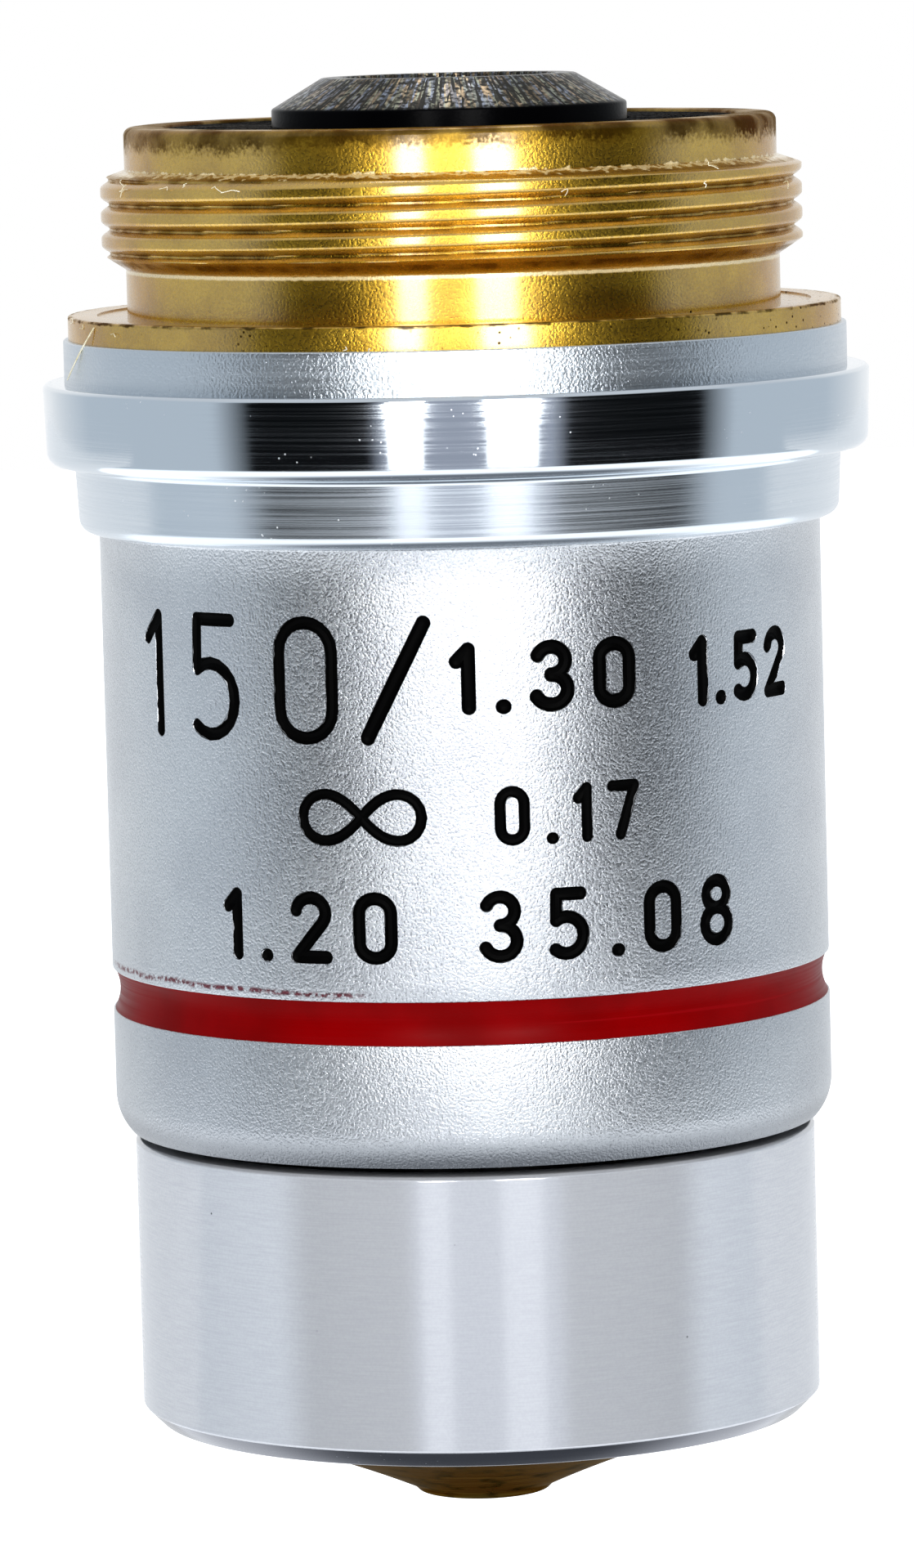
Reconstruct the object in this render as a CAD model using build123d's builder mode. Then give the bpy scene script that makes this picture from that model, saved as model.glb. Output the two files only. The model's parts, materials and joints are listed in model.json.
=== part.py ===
"""Oil-immersion microscope objective with a sprung nose that slides up into its body.

Millimetres. The origin is the middle of the shoulder that seats on the nosepiece,
+Z runs up the optical axis towards the eyepiece, and the front lens is at the bottom.
"""
import os
from math import sqrt

from build123d import *

os.makedirs("parts", exist_ok=True)

# Mounting thread, 0.8 inch across with 36 turns to the inch, and the flange under it
thread_radius = 10.13
thread_length = 2.15
thread_lead_in = 0.25
thread_run_out = 0.45
relief_depth = 0.68
relief_length = 1.31
pilot_depth = 0.71
pilot_length = 1.22
rim_chamfer = 0.24
seat_margin = 0.2
seat_width = 0.85
seat_relief = 0.05
flange_height = 0.68

# Sliding lens barrel and the travel of the nose
barrel_wall = 2.76
barrel_relief = 0.26
guide_land = 3.0
nose_travel = 2.0
stop_collar_height = 1.5
stop_depth = 0.77
tube_radius = 5.13
tube_wall = 0.75
tube_reach = 0.5
web_height = 0.5
throat_ledge = 0.68

# Nose sleeve
nose_wall = 0.96
nose_length = 8.33
nose_bevel = 0.5
nose_edge = 0.1
nose_floor = 1.0
nose_gap = 0.28

# Body sleeve, from the top down
lip_wall = 0.45
lip_edge = 0.05
lip_height = 1.05
top_wall = 0.45
step_rise = 0.65
step_taper = 0.1
step_height = 1.95
step_ledge = 0.1
ring_rise = 0.86
ring_taper = 0.08
ring_height = 2.35
ring_round = 0.45
ring_chamfer = 0.1
cap_inset = 0.63
cap_height = 1.25
body_length = 17.45

# Colour band let into the body
band_stand = 3.52
band_height = 1.22
band_groove = 0.4
band_edge = 0.05
band_hollow = 0.16

# Spring, its retainer and the guide pin
bore_wall = 1.45
retainer_height = 1.3
retainer_ledge = 0.3
retainer_sink = 0.08
spanner_hole_radius = 0.5
spanner_hole_depth = 0.7
spring_turns = 5
wire_radius = 0.35
wire_sides = 8
pin_radius = 0.5
pin_seat = 2.0
pin_chamfer = 0.1

# Running clearances
guide_clearance = 0.04
tube_clearance = 0.07
nose_clearance = 0.08
collar_clearance = 0.2
pin_clearance = 0.06
pin_end_clearance = 0.2
end_clearance = 0.3
floor_clearance = 0.05

# Front cell with the hyperhemisphere and the meniscus
flare_inset = 0.76
flare_hollow = 0.14
tip_length = 2.43
tip_radius = 1.9
tip_chamfer = 0.18
front_lens_radius = 1.35
front_lens_cut = 0.2
front_lens_sink = 0.05
front_lens_grip = 0.3
meniscus_radius = 3.2
meniscus_edge = 1.0
meniscus_hollow = 0.6
meniscus_bulge = 0.9
meniscus_seat_depth = 0.5
front_spigot = 1.7

# Stack of three cemented doublets in brass cells
cell_radius = 6.2
cell_heights = (4.4, 4.4, 4.2)
cell_walls = (1.9, 1.6, 2.0)
crown_edges = (1.2, 1.0, 0.9)
crown_fronts = (0.75, 0.6, 0.5)
crown_backs = (0.7, 0.8, 0.6)
flint_hollows = (0.3, 0.35, 0.45)
lower_spacer_height = 1.0
upper_spacer_height = 2.6
spacer_wall = 0.8
seat_lip = 0.5
seat_lip_height = 0.6
lens_ring_height = 0.6

# Rear cell, with a cone at its top, and the aperture stop under it
cone_stand = 0.4
cone_height = 0.87
cone_rim = 0.55
rear_cell_wall = 0.78
rear_spigot = 7.0
rear_seat_height = 3.7
rear_flint_edge = 1.4
rear_flint_hollow = 0.5
rear_crown_edge = 0.9
rear_crown_back = 0.3
rear_crown_front = 0.25
stop_thickness = 0.3
stop_land = 2.08

# Radii that follow, from the lens cells out to the body and from the thread in to the spring
barrel_radius = cell_radius + barrel_wall
pilot_radius = thread_radius - pilot_depth
relief_radius = thread_radius - relief_depth
seat_radius = thread_radius + seat_margin
guide_bore = barrel_radius + guide_clearance
nose_radius = barrel_radius + nose_wall
nose_bore = nose_radius + nose_clearance
body_radius = nose_bore + lip_wall
step_radius = body_radius + step_rise
step_low_radius = step_radius - step_taper
step_round = step_low_radius - body_radius - step_ledge
ring_radius = step_radius + ring_rise
ring_low_radius = ring_radius - ring_taper
cap_radius = ring_radius - cap_inset
skirt_radius = body_radius - top_wall
flange_radius = max(seat_radius, skirt_radius) + seat_width
spring_bore = min(relief_radius, skirt_radius) - bore_wall
retainer_radius = spring_bore + retainer_ledge
retainer_bore = tube_radius + tube_clearance
collar_radius = skirt_radius - collar_clearance
groove_radius = body_radius - band_groove
band_radius = body_radius - band_edge
spring_radius = (tube_radius + spring_bore) / 2
pin_place = (spring_bore + skirt_radius) / 2
spanner_place = (retainer_bore + retainer_radius) / 2
spigot_radius = tube_radius - tube_wall
throat_radius = spigot_radius - throat_ledge
stop_hole_radius = spigot_radius - stop_land
rear_lens_radius = spigot_radius - rear_cell_wall
rear_bore_radius = rear_lens_radius - seat_lip
cone_top_radius = rear_bore_radius + cone_rim
spacer_bore = cell_radius - spacer_wall
flare_radius = barrel_radius - flare_inset
front_lens_flat = front_lens_radius - front_lens_cut

# Heights above the shoulder
relief_top = relief_length
thread_bottom = relief_top + thread_run_out
thread_top = thread_bottom + thread_length
pilot_bottom = thread_top + thread_lead_in
rim_top = pilot_bottom + pilot_length
retainer_top = rim_top - retainer_sink
retainer_bottom = retainer_top - retainer_height
cone_bottom = rim_top + cone_stand
cone_top = cone_bottom + cone_height
tube_top = retainer_bottom + tube_reach
spigot_bottom = tube_top - rear_spigot
aperture_bottom = spigot_bottom - stop_thickness

# Heights below the shoulder
flange_bottom = -flange_height
cap_bottom = flange_bottom - cap_height
ring_bottom = cap_bottom - ring_height
step_bottom = ring_bottom - step_height
stop_face = step_bottom - stop_depth
collar_top = stop_face + stop_collar_height
skirt_bottom = collar_top + nose_travel + end_clearance
lip_bottom = step_bottom - body_length
band_bottom = lip_bottom + band_stand
band_top = band_bottom + band_height
nose_top = lip_bottom - nose_gap
nose_bottom = nose_top - nose_length
nose_bore_top = nose_top + nose_travel + end_clearance
barrel_bottom = nose_bottom + nose_floor
stack_top = stop_face - web_height
tip_bottom = nose_bottom - tip_length


def section(*points):
    """Closed half section in radius and height, ready to be turned about the axis."""
    with BuildSketch(Plane.XZ) as half:
        with BuildLine():
            Polyline(*points, close=True)
        make_face()
    return half.sketch


def ring_section(inner, outer, bottom, top):
    """Half section of a plain ring."""
    return section((inner, bottom), (outer, bottom), (outer, top), (inner, top))


def lens_section(radius, edge_bottom, edge_top, bulge_bottom, bulge_top):
    """Half section of a lens. A negative bulge is a hollow face."""
    pole_bottom = (0, edge_bottom - bulge_bottom)
    pole_top = (0, edge_top + bulge_top)
    with BuildSketch(Plane.XZ) as half:
        with BuildLine():
            Line(pole_bottom, pole_top)
            TangentArc(pole_top, (radius, edge_top), tangent=(1, 0))
            Line((radius, edge_top), (radius, edge_bottom))
            TangentArc(pole_bottom, (radius, edge_bottom), tangent=(1, 0))
        make_face()
    return half.sketch


def bulge_at(radius, bulge, rim):
    """Height of a spherical face over its rim, where it is `radius` from the axis."""
    sphere = (rim**2 + bulge**2) / (2 * bulge)
    return sqrt(sphere**2 - radius**2) - sqrt(sphere**2 - rim**2)


# Threaded mount: the thread's envelope, its relief, the flange and the skirt inside the body
with BuildPart() as thread_mount:
    revolve(
        section(
            (retainer_radius, rim_top),
            (pilot_radius - rim_chamfer, rim_top),
            (pilot_radius, rim_top - rim_chamfer),
            (pilot_radius, pilot_bottom),
            (thread_radius, thread_top),
            (thread_radius, thread_bottom),
            (relief_radius, relief_top),
            (relief_radius, -seat_relief),
            (seat_radius, -seat_relief),
            (seat_radius, 0),
            (flange_radius, 0),
            (flange_radius, flange_bottom),
            (skirt_radius, flange_bottom),
            (skirt_radius, skirt_bottom),
            (spring_bore, skirt_bottom),
            (spring_bore, retainer_bottom),
            (retainer_radius, retainer_bottom),
        ),
        axis=Axis.Z,
    )
    with BuildSketch(Plane.XY.offset(skirt_bottom)):
        with Locations((0, pin_place)):
            Circle(pin_radius)
    extrude(amount=pin_seat, mode=Mode.SUBTRACT)
thread_mount.part.label = "thread_mount"
export_step(thread_mount.part, "parts/thread_mount.step")

# Body sleeve: cap, raised ring and step, long satin barrel, band groove and rounded lip
with BuildPart() as body_sleeve:
    with BuildSketch(Plane.XZ):
        with BuildLine():
            Polyline(
                (skirt_radius, flange_bottom),
                (cap_radius, flange_bottom),
                (cap_radius, cap_bottom),
                (ring_radius - ring_chamfer, cap_bottom),
                (ring_radius, cap_bottom - ring_chamfer),
                (ring_low_radius, ring_bottom + ring_round),
            )
            TangentArc(
                (ring_low_radius, ring_bottom + ring_round),
                (ring_low_radius - ring_round, ring_bottom),
                tangent=(0, -1),
            )
            Polyline(
                (ring_low_radius - ring_round, ring_bottom),
                (step_radius, ring_bottom),
                (step_low_radius, step_bottom + step_round),
            )
            TangentArc(
                (step_low_radius, step_bottom + step_round),
                (step_low_radius - step_round, step_bottom),
                tangent=(0, -1),
            )
            Polyline(
                (step_low_radius - step_round, step_bottom),
                (body_radius, step_bottom),
                (body_radius, band_top),
                (groove_radius, band_top),
                (groove_radius, band_bottom),
                (body_radius, band_bottom),
                (body_radius, lip_bottom + lip_height),
            )
            TangentArc(
                (body_radius, lip_bottom + lip_height),
                (nose_bore + lip_edge, lip_bottom),
                tangent=(0, -1),
            )
            Polyline(
                (nose_bore + lip_edge, lip_bottom),
                (nose_bore, lip_bottom),
                (nose_bore, nose_bore_top),
                (guide_bore, nose_bore_top),
                (guide_bore, stop_face),
                (skirt_radius, stop_face),
                (skirt_radius, flange_bottom),
            )
        make_face()
    revolve(axis=Axis.Z)
body_sleeve.part.label = "body_sleeve"
export_step(body_sleeve.part, "parts/body_sleeve.step")

# Enamel colour band that fills the groove with a hollow face
with BuildPart() as colour_band:
    with BuildSketch(Plane.XZ):
        with BuildLine():
            Polyline(
                (band_radius, band_top),
                (groove_radius, band_top),
                (groove_radius, band_bottom),
                (band_radius, band_bottom),
            )
            ThreePointArc(
                (band_radius, band_bottom),
                (band_radius - band_hollow, (band_top + band_bottom) / 2),
                (band_radius, band_top),
            )
        make_face()
    revolve(axis=Axis.Z)
colour_band.part.label = "colour_band"
export_step(colour_band.part, "parts/colour_band.step")

# Black ring screwed into the rear of the mount: it guides the tube and holds the spring
with BuildPart() as spring_retainer:
    revolve(
        ring_section(retainer_bore, retainer_radius, retainer_bottom, retainer_top),
        axis=Axis.Z,
    )
    with BuildSketch(Plane.XY.offset(retainer_top)):
        with PolarLocations(spanner_place, 2):
            Circle(spanner_hole_radius)
    extrude(amount=-spanner_hole_depth, mode=Mode.SUBTRACT)
spring_retainer.part.label = "spring_retainer"
export_step(spring_retainer.part, "parts/spring_retainer.step")

# Dowel that keeps the sliding barrel from turning
with BuildPart() as guide_pin:
    with BuildSketch(Plane.XY.offset(stop_face + pin_end_clearance)):
        with Locations((0, pin_place)):
            Circle(pin_radius)
    extrude(amount=skirt_bottom + pin_seat - stop_face - pin_end_clearance)
    chamfer(guide_pin.edges().group_by(Axis.Z)[0], length=pin_chamfer)
guide_pin.part.label = "guide_pin"
export_step(guide_pin.part, "parts/guide_pin.step")

# Compression spring between the retainer and the barrel's collar, with ground ends
with BuildPart() as nose_spring:
    spring_length = retainer_bottom - collar_top
    with BuildLine() as wire_path:
        Helix(spring_length / spring_turns, spring_length, spring_radius, center=(0, 0, collar_top))
    with BuildSketch(Plane(origin=wire_path.line @ 0, z_dir=wire_path.line % 0)):
        RegularPolygon(wire_radius, wire_sides)
    sweep(is_frenet=True)
    split(bisect_by=Plane.XY.offset(collar_top), keep=Keep.TOP)
    split(bisect_by=Plane.XY.offset(retainer_bottom), keep=Keep.BOTTOM)
nose_spring.part.label = "nose_spring"
export_step(nose_spring.part, "parts/nose_spring.step")

# Lens barrel: rear tube, stop collar, two guide lands and the bore for the lens stack
with BuildPart() as lens_barrel:
    revolve(
        section(
            (spigot_radius, tube_top),
            (tube_radius, tube_top),
            (tube_radius, collar_top),
            (collar_radius, collar_top),
            (collar_radius, stop_face),
            (barrel_radius, stop_face),
            (barrel_radius, stop_face - guide_land),
            (barrel_radius - barrel_relief, stop_face - guide_land - barrel_relief),
            (barrel_radius - barrel_relief, nose_bore_top + guide_land + barrel_relief),
            (barrel_radius, nose_bore_top + guide_land),
            (barrel_radius, barrel_bottom),
            (cell_radius, barrel_bottom),
            (cell_radius, stack_top),
            (throat_radius, stack_top),
            (throat_radius, aperture_bottom),
            (spigot_radius, aperture_bottom),
        ),
        axis=Axis.Z,
    )
    with BuildSketch(Plane.XY.offset(collar_top)):
        with Locations((0, pin_place)):
            Circle(pin_radius + pin_clearance)
    extrude(amount=-stop_collar_height - nose_travel, mode=Mode.SUBTRACT)
lens_barrel.part.label = "lens_barrel"
export_step(lens_barrel.part, "parts/lens_barrel.step")

# Nose sleeve screwed on the front of the barrel
with BuildPart() as nose_sleeve:
    revolve(
        section(
            (barrel_radius, nose_top),
            (nose_radius - nose_edge, nose_top),
            (nose_radius, nose_top - nose_edge),
            (nose_radius, nose_bottom + nose_bevel),
            (nose_radius - nose_bevel, nose_bottom),
            (flare_radius + floor_clearance, nose_bottom),
            (flare_radius + floor_clearance, barrel_bottom),
            (barrel_radius, barrel_bottom),
        ),
        axis=Axis.Z,
    )
nose_sleeve.part.label = "nose_sleeve"
export_step(nose_sleeve.part, "parts/nose_sleeve.step")

# Front cell: trumpet-shaped tip, seats of the two front lenses and the spigot that clamps the stack
front_face = tip_bottom + front_lens_sink
front_centre = front_face + sqrt(front_lens_radius**2 - front_lens_flat**2)
meniscus_bottom = barrel_bottom - meniscus_seat_depth
meniscus_top = meniscus_bottom + meniscus_edge
front_cell_top = barrel_bottom + front_spigot
tip_start = (tip_radius + tip_chamfer, tip_bottom + tip_chamfer)
flare_middle = (
    (flare_radius + tip_radius + tip_chamfer) / 2,
    (nose_bottom + tip_bottom + tip_chamfer) / 2 + flare_hollow,
)
with BuildPart() as front_cell:
    with BuildSketch(Plane.XZ):
        with BuildLine():
            Polyline(
                (cell_radius, front_cell_top),
                (cell_radius, barrel_bottom),
                (flare_radius, barrel_bottom),
                (flare_radius, nose_bottom),
            )
            ThreePointArc((flare_radius, nose_bottom), flare_middle, tip_start)
            Polyline(
                tip_start,
                (tip_radius, tip_bottom),
                (front_lens_radius, tip_bottom),
                (front_lens_radius, front_centre + front_lens_grip),
                (meniscus_radius - seat_lip, meniscus_bottom),
                (meniscus_radius, meniscus_bottom),
                (meniscus_radius, front_cell_top),
                (cell_radius, front_cell_top),
            )
        make_face()
    revolve(axis=Axis.Z)
front_cell.part.label = "front_cell"
export_step(front_cell.part, "parts/front_cell.step")

# Front lens, a little more than half a ball with a flat that meets the oil
with BuildPart() as front_lens:
    with BuildSketch(Plane.XZ):
        with BuildLine():
            ThreePointArc(
                (0, front_centre + front_lens_radius),
                (front_lens_radius, front_centre),
                (front_lens_flat, front_face),
            )
            Polyline(
                (front_lens_flat, front_face),
                (0, front_face),
                (0, front_centre + front_lens_radius),
            )
        make_face()
    revolve(axis=Axis.Z)
front_lens.part.label = "front_lens"
export_step(front_lens.part, "parts/front_lens.step")

# Meniscus lens behind it, and the ring that holds it in the front cell
with BuildPart() as meniscus_lens:
    revolve(
        lens_section(meniscus_radius, meniscus_bottom, meniscus_top, -meniscus_hollow, meniscus_bulge),
        axis=Axis.Z,
    )
meniscus_lens.part.label = "meniscus_lens"
export_step(meniscus_lens.part, "parts/meniscus_lens.step")

with BuildPart() as meniscus_ring:
    ring_bore = meniscus_radius - seat_lip
    ring_seat = meniscus_top + bulge_at(ring_bore, meniscus_bulge, meniscus_radius)
    revolve(
        ring_section(ring_bore, meniscus_radius, ring_seat, ring_seat + lens_ring_height),
        axis=Axis.Z,
    )
meniscus_ring.part.label = "meniscus_ring"
export_step(meniscus_ring.part, "parts/meniscus_ring.step")

# Three cemented doublets, each in a brass cell under a screwed ring, stacked with two spacers between
cell_bottom = front_cell_top
spacer_heights = (lower_spacer_height, upper_spacer_height)
for index, cell_height in enumerate(cell_heights):
    number = index + 1
    lens_radius = cell_radius - cell_walls[index]
    lip_bore = lens_radius - seat_lip
    cell_top = cell_bottom + cell_height
    lip_top = cell_bottom + seat_lip_height
    crown_bottom = lip_top + bulge_at(lip_bore, crown_fronts[index], lens_radius)
    cement_rim = crown_bottom + crown_edges[index]
    flint_top = cell_top - lens_ring_height

    with BuildPart() as doublet_cell:
        revolve(
            section(
                (lip_bore, cell_bottom),
                (cell_radius, cell_bottom),
                (cell_radius, cell_top),
                (lens_radius, cell_top),
                (lens_radius, lip_top),
                (lip_bore, lip_top),
            ),
            axis=Axis.Z,
        )
    doublet_cell.part.label = f"doublet_cell_{number}"
    export_step(doublet_cell.part, f"parts/doublet_cell_{number}.step")

    with BuildPart() as crown_lens:
        revolve(
            lens_section(lens_radius, crown_bottom, cement_rim, crown_fronts[index], crown_backs[index]),
            axis=Axis.Z,
        )
    crown_lens.part.label = f"crown_lens_{number}"
    export_step(crown_lens.part, f"parts/crown_lens_{number}.step")

    with BuildPart() as flint_lens:
        revolve(
            lens_section(lens_radius, cement_rim, flint_top, -crown_backs[index], -flint_hollows[index]),
            axis=Axis.Z,
        )
    flint_lens.part.label = f"flint_lens_{number}"
    export_step(flint_lens.part, f"parts/flint_lens_{number}.step")

    with BuildPart() as lens_ring:
        revolve(ring_section(lip_bore, lens_radius, flint_top, cell_top), axis=Axis.Z)
    lens_ring.part.label = f"lens_ring_{number}"
    export_step(lens_ring.part, f"parts/lens_ring_{number}.step")

    # The last spacer is cut to fill the bore up to the barrel's web
    spacer_top = stack_top
    if index < len(spacer_heights):
        spacer_top = cell_top + spacer_heights[index]
    with BuildPart() as stack_spacer:
        revolve(ring_section(spacer_bore, cell_radius, cell_top, spacer_top), axis=Axis.Z)
    stack_spacer.part.label = f"stack_spacer_{number}"
    export_step(stack_spacer.part, f"parts/stack_spacer_{number}.step")
    cell_bottom = spacer_top

# Aperture stop between the barrel's ledge and the rear cell
with BuildPart() as aperture_stop:
    revolve(
        ring_section(stop_hole_radius, spigot_radius, aperture_bottom, spigot_bottom),
        axis=Axis.Z,
    )
aperture_stop.part.label = "aperture_stop"
export_step(aperture_stop.part, "parts/aperture_stop.step")

# Rear cell with the black cone that shows above the mount
rear_seat = spigot_bottom + rear_seat_height
with BuildPart() as rear_cell:
    revolve(
        section(
            (rear_bore_radius, cone_top),
            (cone_top_radius, cone_top),
            (tube_radius, cone_bottom),
            (tube_radius, tube_top),
            (spigot_radius, tube_top),
            (spigot_radius, spigot_bottom),
            (rear_lens_radius, spigot_bottom),
            (rear_lens_radius, rear_seat),
            (rear_bore_radius, rear_seat),
        ),
        axis=Axis.Z,
    )
rear_cell.part.label = "rear_cell"
export_step(rear_cell.part, "parts/rear_cell.step")

# Rear doublet, which spreads the light into a parallel beam, and its ring
rear_cement = rear_seat - rear_flint_edge
rear_crown_bottom = rear_cement - rear_crown_edge
with BuildPart() as rear_flint:
    revolve(
        lens_section(rear_lens_radius, rear_cement, rear_seat, -rear_crown_back, -rear_flint_hollow),
        axis=Axis.Z,
    )
rear_flint.part.label = "rear_flint"
export_step(rear_flint.part, "parts/rear_flint.step")

with BuildPart() as rear_crown:
    revolve(
        lens_section(rear_lens_radius, rear_crown_bottom, rear_cement, rear_crown_front, rear_crown_back),
        axis=Axis.Z,
    )
rear_crown.part.label = "rear_crown"
export_step(rear_crown.part, "parts/rear_crown.step")

with BuildPart() as rear_lens_ring:
    rear_ring_top = rear_crown_bottom - bulge_at(rear_bore_radius, rear_crown_front, rear_lens_radius)
    revolve(
        ring_section(rear_bore_radius, rear_lens_radius, rear_ring_top - lens_ring_height, rear_ring_top),
        axis=Axis.Z,
    )
rear_lens_ring.part.label = "rear_lens_ring"
export_step(rear_lens_ring.part, "parts/rear_lens_ring.step")
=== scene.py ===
"""Looks of an oil-immersion microscope objective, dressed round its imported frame.

Sizes are millimetres, named for what they measure, and become metres where a mesh is shaped.
Radii are from the optical axis and heights are from the shoulder under the thread, as in the frame.
"""
import json
import logging
import math
import random
from dataclasses import dataclass
from enum import Enum
from typing import Any, Callable, Optional, Sequence

import bpy
from mathutils import Matrix, Vector


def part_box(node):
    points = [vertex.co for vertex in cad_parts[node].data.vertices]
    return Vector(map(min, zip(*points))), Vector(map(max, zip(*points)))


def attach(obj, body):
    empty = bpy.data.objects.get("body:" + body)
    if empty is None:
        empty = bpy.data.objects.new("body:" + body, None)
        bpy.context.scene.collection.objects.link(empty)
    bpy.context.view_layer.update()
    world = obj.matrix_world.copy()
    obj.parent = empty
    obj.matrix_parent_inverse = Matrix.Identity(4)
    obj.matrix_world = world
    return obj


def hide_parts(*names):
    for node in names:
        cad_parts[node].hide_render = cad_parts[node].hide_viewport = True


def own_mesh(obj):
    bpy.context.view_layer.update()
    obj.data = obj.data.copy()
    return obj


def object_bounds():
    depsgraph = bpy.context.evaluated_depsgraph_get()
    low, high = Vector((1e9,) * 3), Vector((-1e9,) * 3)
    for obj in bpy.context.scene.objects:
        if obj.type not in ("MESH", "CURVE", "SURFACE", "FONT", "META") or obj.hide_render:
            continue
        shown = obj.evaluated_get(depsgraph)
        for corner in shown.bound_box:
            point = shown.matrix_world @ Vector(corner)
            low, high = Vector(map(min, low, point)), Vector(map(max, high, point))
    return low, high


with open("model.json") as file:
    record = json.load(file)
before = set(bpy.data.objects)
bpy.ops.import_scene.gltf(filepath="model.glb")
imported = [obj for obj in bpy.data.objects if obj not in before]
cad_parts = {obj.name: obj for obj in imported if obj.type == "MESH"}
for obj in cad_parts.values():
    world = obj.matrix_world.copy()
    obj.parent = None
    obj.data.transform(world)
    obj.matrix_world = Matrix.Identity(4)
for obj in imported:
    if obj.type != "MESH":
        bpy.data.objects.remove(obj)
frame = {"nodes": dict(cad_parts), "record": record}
cad_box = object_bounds()

MM = 0.001
MERGE_DISTANCE = 1e-7
SAME_PLACE = 10 * MERGE_DISTANCE
SMOOTH_ANGLE = math.radians(30)
FLAT_WEIGHT = 50
FINE_ROUND = 0.15
FINE_STEPS = 3
ROUND_STEPS = 8
PEN_RESOLUTION = 4
BALL_SEGMENTS = 24
BALL_RINGS = 12
WHITE = "#FFFFFF"
# Settings that many nodes share: a soft step between two numbers, and a mix of two colours
SOFT = {"interpolation_type": "SMOOTHSTEP"}
COLOURS = {"data_type": "RGBA"}

log = logging.getLogger("objective")


class Body(Enum):
    """The two bodies of the frame that pieces ride on."""

    HOUSING = "housing"
    NOSE = "nose"


class Slot(Enum):
    """The record's material slots."""

    THREAD_BRASS = "thread_brass"
    SATIN_CHROME = "satin_chrome"
    BAND_ENAMEL = "band_enamel"
    BLACK_ANODISED = "black_anodised"
    NOSE_ALUMINIUM = "nose_aluminium"
    TIP_BRASS = "tip_brass"
    CELL_BRASS = "cell_brass"
    SPRING_STEEL = "spring_steel"
    CROWN_GLASS = "crown_glass"
    FLINT_GLASS = "flint_glass"


# Colour and node helpers


def linear(hex_colour: str) -> tuple[float, float, float, float]:
    """Turns an sRGB hex colour into linear red, green, blue and alpha.

    Args:
        hex_colour: Six hex digits, with or without a leading hash.

    Returns:
        The colour as Blender's sockets take it.
    """
    digits = hex_colour.lstrip("#")
    channels = [int(digits[i : i + 2], 16) / 255 for i in (0, 2, 4)]
    toe = [c / 12.92 if c <= 0.04045 else ((c + 0.055) / 1.055) ** 2.4 for c in channels]
    return (toe[0], toe[1], toe[2], 1.0)


class Value:
    """One output of a node. Arithmetic on it adds Math nodes, and | takes the larger of two."""

    def __init__(self, socket: Optional[bpy.types.NodeSocket]) -> None:
        """Keeps the output's socket, or none for a node that ends a tree."""
        self.socket = socket

    def output(self, key: Any) -> "Value":
        """Gives another output of the same node, by its name or index."""
        return Value(self.socket.node.outputs[key])

    def reckon(self, operation: str, *numbers: Any) -> "Value":
        """Adds one step of arithmetic to the tree that this output is in."""
        return add_node(self.socket.id_data, "Math", *numbers, operation=operation)

    def __add__(self, other: Any) -> "Value":
        """Adds a number or another value."""
        return self.reckon("ADD", self, other)

    def __sub__(self, other: Any) -> "Value":
        """Takes a number or another value away."""
        return self.reckon("SUBTRACT", self, other)

    def __rsub__(self, other: float) -> "Value":
        """Takes this value away from a number."""
        return self.reckon("SUBTRACT", other, self)

    def __mul__(self, other: Any) -> "Value":
        """Multiplies by a number or another value."""
        return self.reckon("MULTIPLY", self, other)

    def __truediv__(self, other: Any) -> "Value":
        """Divides by a number or another value."""
        return self.reckon("DIVIDE", self, other)

    def __pow__(self, power: float) -> "Value":
        """Raises to a power."""
        return self.reckon("POWER", self, power)

    def __or__(self, other: Any) -> "Value":
        """Takes the larger of two, which lays one mask over another."""
        return self.reckon("MAXIMUM", self, other)

    def __abs__(self) -> "Value":
        """Drops the sign."""
        return self.reckon("ABSOLUTE", self)


def fill(socket: bpy.types.NodeSocket, value: Any) -> None:
    """Gives an input a value to follow, or sets it to a number, a vector or a hex colour.

    Args:
        socket: The node's input.
        value: What it takes.
    """
    if isinstance(value, Value):
        socket.id_data.links.new(value.socket, socket)
    else:
        socket.default_value = linear(value) if isinstance(value, str) else value


def add_node(tree: bpy.types.NodeTree, kind: str, *values: Any, **named: Any) -> Value:
    """Adds a node with its settings and links.

    Args:
        tree: The node tree of a material or the world.
        kind: Blender's node type name, without the ShaderNode that it starts with.
        *values: What the node's inputs take, in order.
        **named: Settings by Blender's name in small letters, and inputs by their capitalised name.

    Returns:
        The node's first output.
    """
    node = tree.nodes.new("ShaderNode" + kind)
    for name, setting in named.items():
        if name.islower():
            setattr(node, name, setting)
    inputs = [socket for socket in node.inputs if socket.enabled]
    for socket, value in zip(inputs, values):
        fill(socket, value)
    for name, value in named.items():
        if not name.islower():
            fill(node.inputs[name], value)
    return Value(next((socket for socket in node.outputs if socket.enabled), None))


def set_ramp(node: bpy.types.Node, stops: Sequence[tuple[float, str]]) -> None:
    """Gives a colour ramp its stops.

    Args:
        node: The ramp node.
        stops: Position from 0 to 1 with a hex colour, in rising order.
    """
    elements = node.color_ramp.elements
    while len(elements) < len(stops):
        elements.new(1.0)
    for element, (position, colour) in zip(elements, stops):
        element.position = position
        element.color = linear(colour)


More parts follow.
